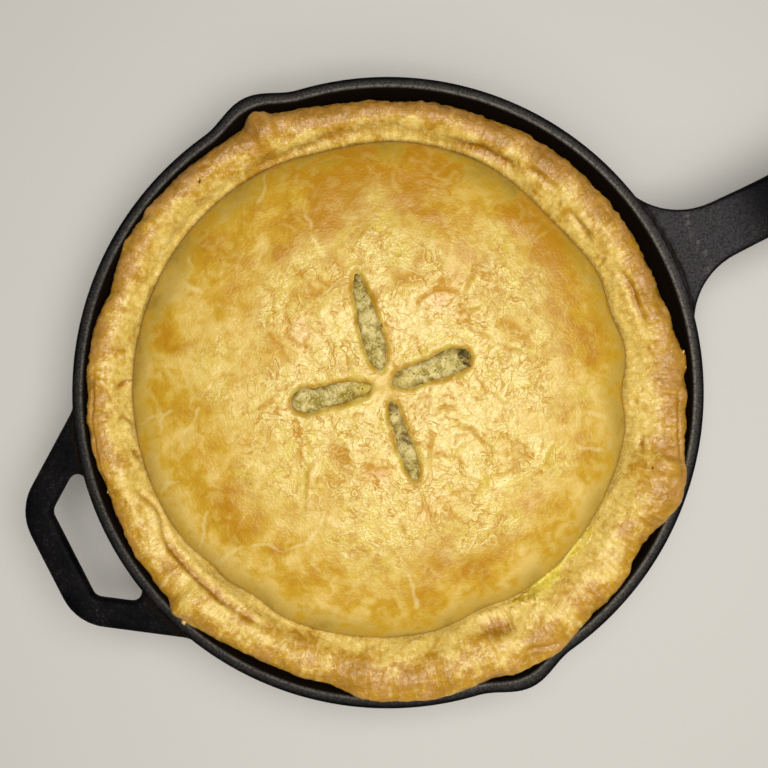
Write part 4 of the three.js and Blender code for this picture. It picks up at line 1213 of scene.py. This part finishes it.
def filling():
    """The filling: from wall to wall under the crust, and welling up in lumps
    inside the vents."""
    share, turn, faces = disc_grid(FILLING_CELLS)
    radius = np.interp(share, (0, MIDDLE_SHARE, 1), (0, FILLING_MIDDLE, ROLL_HEEL))
    x, y = at(turn, radius)
    x, y, lips, _ = gathered_at_lips(x, y, 0.6)
    depth = -lips
    flat = 0 * x
    low = under_lid(x, y) - 2 * GAP - 0.6 * np.abs(lumps(x, y, flat, 12, 21.5))
    lumpy = uneven(x, y, flat, FILLING_LUMPS)
    # It laps over the lips here and there
    lapping = 0.9 * lumps(x, y, flat, 4, 24.5)
    shaded = np.exp(-np.clip(depth, 0, None) / 1.6)
    crown = dome_height(x, y) - FILLING_BELOW_TOP + lumpy * (1 - 0.5 * shaded) - 0.2 * shaded
    z = mix(low, crown, smooth(depth + 0.5 * lapping, -1.0, -0.3))
    count = len(x)

    # Round the edge and under: the wall of the bowl, its corner, its floor
    edge = np.concatenate([
        np.arange(FILLING_CELLS), np.arange(2, FILLING_CELLS + 1) * FILLING_CELLS - 1,
        count - 2 - np.arange(FILLING_CELLS - 1), np.arange(FILLING_CELLS - 2, 0, -1) * FILLING_CELLS,
    ])
    top_turn = turn[edge]
    stops = [(inner_wall(height) - GAP, height) for height in (FILLING_EDGE, 30, FLOOR + CORNER)]
    floor = FLOOR + GAP
    for lean in (30, 60, 90):
        stops.append((
            inner_wall(floor) - GAP - CORNER + CORNER * np.cos(np.radians(lean)),
            floor + CORNER - CORNER * np.sin(np.radians(lean)),
        ))
    stops += [(60.0, floor), (0.5, floor)]
    rows = [edge]
    points = [np.stack([x, y, z], 1)]
    for number, (reach, height) in enumerate(stops):
        rx, ry = at(top_turn, reach)
        points.append(np.stack([rx, ry, 0 * rx + height], 1))
        rows.append(count + number * len(edge) + np.arange(len(edge)))
    every_face = np.concatenate([faces, ring_faces(np.array(rows))]).tolist() + [rows[-1][::-1].tolist()]
    points = np.concatenate(points)
    piece = new_piece("filling_body", points, every_face, herb_cream_sauce(), "filling")
    buttery, edged = np.zeros(len(points)), np.zeros(len(points))
    buttery[:count] = spots(x, y, BUTTERY)
    # Painted shade where the filling sinks under the lips, and its browned spots
    edged[:count] = np.clip(0.75 * shaded + spots(x, y, SINGED), 0, 1)
    record(piece, buttery=buttery, edged=edged)
    return piece


# ---- The skillet ----

BOWL_SIDES = 384
RIM_ROUND = 1.2  # rounding of both edges of the rim
BASE_EDGE = 1.5  # broken edge round the underside
AXIS, CLEAR = 0.5, 33  # a profile starts this near the Z axis; a cut runs on this far
HANDLE_DROP, HANDLE_BEVEL, HANDLE_ROOT = 1.5, 2.6, 120
GRIP_THICK, GRIP_TILT, GRIP_FILLET, GRIP_ROOT_HALF = 10, 5, 36, 14
GRIP_WAIST, GRIP_WIDE, GRIP_END_X = (210, 13.3), (262, 16.5), 289
HANG_HOLE_X, HANG_HOLE_RADIUS, HANG_HOLE_TIP_X = 272, 7, 243
HELPER_THICK, HELPER_TURN, HELPER_END_X = 8, 1, 186
HELPER_HALF, HELPER_SLOPE, HELPER_CORNER = 30.8, 0.69, 26
HELPER_FILLET, HELPER_BAR, HELPER_HOLE_HALF, HELPER_HOLE_CORNER = 20, 13.9, 23.2, 5
CAST_CELL = 1.1  # size of the mesh on the handles
CURVE_POINTS = 16  # along each curve of a handle's outline


def arc(centre, radius, start, end):
    """Points along an arc, from one angle to another, in radians."""
    angle = np.linspace(start, end, CURVE_POINTS)
    return np.stack([centre[0] + radius * np.cos(angle), centre[1] + radius * np.sin(angle)], 1)


def bezier(*stops):
    a, b, c, d = (np.array(stop, float) for stop in stops)
    t = np.linspace(0, 1, CURVE_POINTS)[1:, None]
    return a * (1 - t) ** 3 + 3 * b * t * (1 - t) ** 2 + 3 * c * t * t * (1 - t) + d * t**3


def mirrored(half):
    """A closed outline that is alike on both sides of the X axis."""
    half = np.concatenate(half)
    return np.concatenate([half * (1, -1), half[half[:, 1] > 0.01][::-1]])


def root(centre, radius, end_angle):
    """The start of a handle's outline: its root, hidden in the bowl, and the
    concave fillet that leaves the rim."""
    lean = np.arctan2(centre[1], centre[0])
    rim = RIM_RADIUS * np.array([np.cos(lean), np.sin(lean)])
    return [np.array([[HANDLE_ROOT, rim[1]]]), arc(centre, radius, lean - np.pi, end_angle)]


def long_handle_outline():
    fillet_y = GRIP_ROOT_HALF + GRIP_FILLET
    fillet_x = np.sqrt((RIM_RADIUS + GRIP_FILLET) ** 2 - fillet_y**2)
    half = root((fillet_x, fillet_y), GRIP_FILLET, -np.pi / 2)
    half.append(bezier((fillet_x, GRIP_ROOT_HALF), GRIP_WAIST, GRIP_WAIST, GRIP_WIDE))
    wide = GRIP_WIDE[1]
    half.append(bezier(GRIP_WIDE, (GRIP_END_X, wide), (GRIP_END_X, wide / 2), (GRIP_END_X, 0)))
    taper = np.arcsin(HANG_HOLE_RADIUS / (HANG_HOLE_X - HANG_HOLE_TIP_X))
    hole = [
        np.array([[HANG_HOLE_TIP_X, 0]]),
        arc((HANG_HOLE_X, 0), HANG_HOLE_RADIUS, np.pi / 2 + taper, 0),
    ]
    return mirrored(half), mirrored(hole)


def helper_handle_outline():
    lean = np.arctan(HELPER_SLOPE)
    facing = np.pi / 2 - lean
    reach = HELPER_HALF + HELPER_SLOPE * HELPER_END_X
    fillet_out = RIM_RADIUS + HELPER_FILLET
    fillet_turn = np.arcsin((HELPER_FILLET + reach * np.cos(lean)) / fillet_out) - lean
    centre = fillet_out * np.array([np.cos(fillet_turn), np.sin(fillet_turn)])
    half = root(centre, HELPER_FILLET, facing - np.pi)
    corner_x = HELPER_END_X - HELPER_CORNER
    corner_y = reach - HELPER_SLOPE * corner_x - HELPER_CORNER / np.cos(lean)
    half.append(arc((corner_x, corner_y), HELPER_CORNER, facing, 0))
    near = HELPER_END_X - HELPER_BAR
    hole_reach = HELPER_HOLE_HALF + HELPER_SLOPE * near
    hole_x = near - HELPER_HOLE_CORNER
    hole_y = hole_reach - HELPER_SLOPE * hole_x - HELPER_HOLE_CORNER / np.cos(lean)
    far_out = RIM_RADIUS + HELPER_HOLE_CORNER
    far_turn = np.arcsin((hole_reach * np.cos(lean) - HELPER_HOLE_CORNER) / far_out) - lean
    far = (far_out * np.cos(far_turn), far_out * np.sin(far_turn))
    hole = [
        arc((hole_x, hole_y), HELPER_HOLE_CORNER, 0, facing),
        arc(far, HELPER_HOLE_CORNER, facing, far_turn + np.pi),
        np.array([[inner_wall(RIM_HEIGHT) - HELPER_HOLE_CORNER, RIM_RADIUS * np.sin(far_turn)]]),
    ]
    return mirrored(half), mirrored(hole)


def turned(profile, swing):
    """A closed body of a profile turned about the Z axis, its wall swung out at
    the spouts."""
    radius, height = np.array(profile, float).T
    turn = np.arange(BOWL_SIDES) * 360 / BOWL_SIDES
    reach = radius[:, None] + np.where(
        radius[:, None] > BASE_RADIUS, spout_swing(turn[None], height[:, None], swing), 0
    )
    x, y = at(turn[None], reach)
    points = np.stack([x, y, height[:, None] + 0 * x], -1).reshape(-1, 3)
    mesh = bpy.data.meshes.new("turned")
    mesh.from_pydata(points * MM, [], closed_rings(len(profile), BOWL_SIDES))
    return loose(mesh)


def loose(data):
    made = bpy.data.objects.new("part", data)
    bpy.context.collection.objects.link(made)
    return made


def settled(piece):
    """The piece with its modifiers applied, or its curve made a mesh."""
    shape = piece.evaluated_get(bpy.context.evaluated_depsgraph_get())
    mesh = bpy.data.meshes.new_from_object(shape)
    bpy.data.objects.remove(piece)
    return loose(mesh)


def changed_by(piece, kind, **settings):
    change = piece.modifiers.new(kind, kind)
    for name, value in settings.items():
        setattr(change, name, value)
    return settled(piece)


def cast_plate(outline, hole, thickness):
    """A flat plate with rounded edges, its top HANDLE_DROP below the rim,
    with an even mesh that a little unevenness can be worked into."""
    curve = bpy.data.curves.new("plate", "CURVE")
    curve.dimensions = "2D"
    curve.fill_mode = "BOTH"
    curve.extrude = (thickness / 2 - HANDLE_BEVEL) * MM
    curve.bevel_depth = HANDLE_BEVEL * MM
    curve.bevel_resolution = 4
    curve.offset = -HANDLE_BEVEL * MM
    for line in (outline, hole):
        spline = curve.splines.new("POLY")
        spline.points.add(len(line) - 1)
        for point, (x, y) in zip(spline.points, line):
            point.co = (x * MM, y * MM, 0, 1)
        spline.use_cyclic_u = True
    plate = settled(loose(curve))
    plate.data.transform(Matrix.Translation(
        (0, 0, (RIM_HEIGHT - HANDLE_DROP - thickness / 2) * MM)))
    plate = changed_by(plate, "REMESH", mode="VOXEL", voxel_size=CAST_CELL * MM)
    return changed_by(plate, "SMOOTH", factor=0.5, iterations=3)


def bowl_profiles():
    """The profiles, as radius and height, of the bowl's outside and its hollow."""
    shoulder = RIM_HEIGHT - RIM_ROUND  # the rim's rounding starts here
    leans = np.radians((22, 45, 68, 90))
    inner_rim = inner_wall(RIM_HEIGHT)
    wall = [(outer_wall(height), height) for height in np.linspace(BASE_EDGE, shoulder, 22)[:-1]]
    rim = [
        (RIM_RADIUS - RIM_ROUND * (1 - np.cos(lean)), shoulder + RIM_ROUND * np.sin(lean))
        for lean in (0, *leans)
    ]
    base = [(AXIS, 0), (80, 0), (BASE_RADIUS - BASE_EDGE, 0), (BASE_RADIUS - 0.3, 0.4)]
    outside = [*base, *wall, *rim, (AXIS, RIM_HEIGHT)]
    corner = [
        (inner_wall(FLOOR + CORNER) - CORNER * (1 - np.sin(lean)), FLOOR + CORNER * (1 - np.cos(lean)))
        for lean in np.radians((0, 18, 36, 54, 72))
    ]
    hollow_wall = [(inner_wall(height), height) for height in np.linspace(FLOOR + CORNER, shoulder, 20)]
    lip = [
        (inner_rim + RIM_ROUND * (1 - np.cos(lean)), shoulder + RIM_ROUND * np.sin(lean)) for lean in leans
    ]
    above = [(inner_rim + RIM_ROUND, RIM_HEIGHT + CLEAR), (AXIS, RIM_HEIGHT + CLEAR)]
    return outside, [(AXIS, FLOOR), *corner, *hollow_wall, *lip, *above]


def iron_measures(mesh):
    """What the iron's material has to know at each point: where it is rubbed
    bright and painted with a highlight, dark with oil or with painted shade, and
    dry and grey."""
    place = np.empty(len(mesh.vertices) * 3)
    mesh.vertices.foreach_get("co", place)
    facing_up = np.array([point.normal.z for point in mesh.vertices])
    x, y, z = place.reshape(-1, 3).T / MM
    turn, radius = turn_of(x, y), np.hypot(x, y)
    lip_at = inner_wall(RIM_HEIGHT) + RIM_ROUND / 2 + spout_swing(turn, RIM_HEIGHT, SPOUT_IN)
    # A thin bright line on the rim's rounded inner edge: wear, and a painted highlight
    wear_and_highlight = 1.3 * np.exp(-(((radius - lip_at) / 0.6) ** 2)) * smooth(z, RIM_HEIGHT - 2, RIM_HEIGHT - 0.3)
    wear_and_highlight *= 0.75 + 0.25 * np.cos(np.radians(turn))  # most by the long handle
    inward = radius < inner_wall(np.clip(z, 0, RIM_HEIGHT)) + spout_swing(turn, z, SPOUT_IN) + 0.2
    grease_and_shade = inward * smooth(z, 30, 50)
    # A dark line of painted shade in the step round the foot of each handle, and
    # grey iron on the long handle's foot, with a line of bright specks
    on_handle = (np.abs(x) > 140) & (z > RIM_HEIGHT - GRIP_THICK)
    joint = RIM_RADIUS + 1.2 + 0.8 * lumps(x, y, z, 6, 41.5)
    grease_and_shade = np.maximum(grease_and_shade, on_handle * np.clip(1.6 * np.exp(-(((radius - joint) / 0.8) ** 2)), 0, 1))
    dry = smooth(x, RIM_RADIUS - 8, RIM_RADIUS + 2) * (1 - smooth(x, 178, 205))
    dry *= smooth(facing_up, 0.8, 0.99)
    line = np.exp(-(((radius - RIM_RADIUS - 13 - 3 * lumps(x, y, z, 9, 42.5)) / 1.0) ** 2))
    wear_and_highlight = np.maximum(wear_and_highlight, 0.8 * line * dry * smooth(lumps(x, y, z, 2.2, 43.5), -0.1, 0.3))
    return {"wear_and_highlight": wear_and_highlight, "grease_and_shade": grease_and_shade, "dry": 0.85 * dry}


def skillet():
    """The skillet, cast in one: bowl, spouts and two handles."""
    outside, inside = bowl_profiles()
    body = turned(outside, SPOUT_OUT)
    hollow = turned(inside, SPOUT_IN)
    grip = cast_plate(*long_handle_outline(), GRIP_THICK)
    middle = Vector((RIM_RADIUS, 0, RIM_HEIGHT - HANDLE_DROP - GRIP_THICK / 2)) * MM
    tilt = Euler((0, -np.radians(GRIP_TILT), 0)).to_matrix()
    for point in grip.data.vertices:
        point.co = tilt @ (point.co - middle) + middle
    helper = cast_plate(*helper_handle_outline(), HELPER_THICK)
    helper.data.transform(Matrix.Rotation(np.pi + np.radians(HELPER_TURN), 4, "Z"))
    for tool, operation in ((grip, "UNION"), (helper, "UNION"), (hollow, "DIFFERENCE")):
        body = changed_by(body, "BOOLEAN", operation=operation, object=tool, solver="EXACT")
        bpy.data.objects.remove(tool)

    mesh = body.data
    mesh.materials.clear()
    mesh.materials.append(seasoned_cast_iron())
    mesh.shade_smooth()
    mesh.set_sharp_from_angle(angle=np.radians(38))
    body.name = mesh.name = "cast_iron_skillet"
    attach(body, "root")
    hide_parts("skillet")
    record(body, **iron_measures(mesh))


# ---- What lies on the crust ----

# The leaked sauce, along the joint: turn, how far out its middle is, half its width
SAUCE = (
    (272, 1.4, 0), (276.5, 1.7, 0.9), (281, 2.1, 2), (285, 2.5, 3), (287, 2.2, 2.2), (288.5, 1.2, 0.7),
    (291, 0.8, 0.7), (293.5, 1.4, 1.7), (296.5, 2, 2.4), (299, 2, 1.4), (301, 1.4, 0),
)
SAUCE_REACH, SAUCE_CELLS, SAUCE_CELLS_ACROSS = 6, 240, 48  # each way across the joint
# Places where it is thin: x, y, size, strength
THIN = ((42, -112, 4, 0.5), (54, -107, 5, 0.45), (24, -121, 2.5, 0.6), (33, -118.5, 2.5, 0.6))

# Flecks, specks and crumbs: x, y, turn, length, width
ROLL_HERBS = ((-36.2, 130, 60, 2.3, 1.4), (97, -87.1, 10, 1.8, 1))
STALK = ((39.5, -5, 298, 5.2, 0.9),)
CARROT = ((11.4, 29.7, 70, 2.4, 0.8), (-14.6, 6.5, 20, 1.6, 0.8))
CRUMBS = (
    (136, -44.9, 20, 2, 1.5), (-142.4, 16.5, 70, 1.8, 1.2), (134.1, -52, 110, 1.6, 0.9),
    (-138.6, -53.4, 20, 5.4, 3.8), (-136.2, -55.4, 70, 3.4, 2.4), (-139.8, -51, 120, 3, 2),
)
HERB_END, HERB_SPREAD, HERB_COUNT = (39.2, 0.5), (2.4, 4), 14
SPECKS_PER_VENT = 4
DROPPED_FROM = 100  # a height above everything


def landing(trees, x, y):
    """The height of the topmost surface at each x and y."""
    found = []
    for px, py in zip(np.ravel(x), np.ravel(y)):
        start = Vector((px, py, DROPPED_FROM)) * MM
        hits = [tree.ray_cast(start, Vector((0, 0, -1)))[0] for tree in trees]
        found.append(max([hit.z / MM for hit in hits if hit], default=RIM_HEIGHT - HANDLE_DROP))
    return np.array(found).reshape(np.shape(x))


def leaked_sauce(trees):
    """A film of sauce that fills the joint and thins out over the crust."""
    stops = np.array(SAUCE, float).T
    turn = np.linspace(stops[0, 0], stops[0, -1], SAUCE_CELLS)[:, None]
    across = np.linspace(-SAUCE_REACH, SAUCE_REACH, SAUCE_CELLS_ACROSS)[None]
    x, y = at(turn, valley_radius(turn) + across)
    ground = landing(trees, x, y)
    # The sauce fills what is uneven in the crust under it
    level = sum(np.roll(ground, step, 1) for step in range(-4, 5)) / 9
    middle, half = (np.interp(turn, stops[0], row) for row in stops[1:])
    half = half * (1 + 0.3 * lumps(x, y, 0 * x, 3, 51.5))
    away = np.abs(across - middle) / np.maximum(half, 0.05)
    thick = np.clip(0.7 * (1 - away**2), -1, 0.45) + 0.06 * lumps(x, y, 0 * x, 3, 52.5)
    thick[[0, -1]] = thick[:, [0, -1]] = -1
    top = np.where(thick > 0, level, ground) + thick
    points = np.concatenate([np.stack([x, y, top], -1), np.stack([x, y, ground - 2], -1)]).reshape(-1, 3)
    number = np.arange(x.size).reshape(x.shape)
    face = np.stack([number[:-1, :-1], number[1:, :-1], number[1:, 1:], number[:-1, 1:]], -1).reshape(-1, 4)
    edge = np.concatenate([number[:-1, 0], number[-1, :-1], number[:0:-1, -1], number[0, :0:-1]])
    ahead = np.roll(edge, -1)
    wall = np.stack([ahead, edge, edge + x.size, ahead + x.size], -1)
    faces = np.concatenate([face, face[:, ::-1] + x.size, wall])
    piece = new_piece("leaked_sauce", points, faces.tolist(), dried_sauce())
    thin = np.clip(spots(x, y, THIN), 0, 1)
    edge = 0.8 * (1 - smooth(thick, 0, 0.3))
    amber = 0.9 * spot(x, y, (11, -118.5), 8) + 0.45 * smooth(turn, 291, 295) + 0 * x
    measures = {"thin": thin, "amber": amber, "edge": edge}
    record(piece, **{name: np.stack([values, values]) for name, values in measures.items()})


def flecks(name, material, trees, rows, thick, lift=0.0, seed=0):
    """Small lumpy bodies that lie where they fell, in one mesh."""
    sides, rings = 10, 6
    around = np.arange(sides) * 2 * np.pi / sides
    up = np.linspace(-np.pi / 2, np.pi / 2, rings + 2)[1:-1]
    ball = [np.outer(np.cos(up), np.cos(around)), np.outer(np.cos(up), np.sin(around))]
    ball.append(np.outer(np.sin(up), 1 + 0 * around))
    ball = np.stack(ball, -1).reshape(-1, 3)
    shell = closed_rings(rings, sides)
    rows = np.array(rows, float)
    floor = landing(trees, rows[:, 0], rows[:, 1])
    points, faces = [], []
    for number, ((x, y, turn, length, width), z) in enumerate(zip(rows, floor)):
        body = ball * (1 + 0.35 * lumps(*(ball.T + 9 * number), 0.9, 61.5 + seed)[:, None])
        body = body * (length / 2, width / 2, thick / 2)
        lean = np.radians(turn)
        across = body[:, 0] * np.sin(lean) + body[:, 1] * np.cos(lean)
        body[:, 0], body[:, 1] = body[:, 0] * np.cos(lean) - body[:, 1] * np.sin(lean), across
        points.append(body + (x, y, z + lift + thick / 6))
        faces += [[point + number * len(ball) for point in face] for face in shell]
    new_piece(name, np.concatenate(points), faces, material)


def bits(trees):
    """Herbs and specks in the vents, and crumbs, as the oven left them."""
    rng = np.random.default_rng(11)
    herbs = []
    for _ in range(HERB_COUNT):
        place = np.array(HERB_END) + rng.normal(0, 0.55, 2) * HERB_SPREAD
        herbs.append((*place, rng.uniform(0, 180), rng.uniform(1.2, 3), rng.uniform(0.7, 1.5)))
    for inner, outer, widths in VENTS:
        inner, outer = np.array(inner), np.array(outer)
        along = outer - inner
        side = np.array([-along[1], along[0]]) / np.hypot(*along)
        for share in rng.uniform(0.08, 0.92, SPECKS_PER_VENT):
            wide = np.interp(share, *np.array(widths, float).T)
            place = inner + share * along + side * wide * rng.uniform(-0.36, 0.36)
            herbs.append((*place, rng.uniform(0, 180), rng.uniform(0.5, 1.4), rng.uniform(0.4, 0.8)))
    thyme = baked_thyme()
    flecks("thyme_flecks", thyme, trees, [*herbs, *ROLL_HERBS], 0.35)
    flecks("thyme_stalk", thyme, trees, STALK, 0.8, lift=0.4, seed=1)
    flecks("carrot_slivers", cooked_carrot(), trees, CARROT, 0.6, seed=2)
    flecks("crumbs", baked_crumbs(), trees, CRUMBS, 0.9, seed=3)


def tree_of(piece):
    """The piece's surface, ready for finding what lies where on it."""
    points = [point.co for point in piece.data.vertices]
    return BVHTree.FromPolygons(points, [face.vertices for face in piece.data.polygons])


def main():
    studio()
    skillet()
    trees = [tree_of(piece) for piece in (lid(), rolled_edge(), filling())]
    leaked_sauce(trees)
    bits(trees)


main()
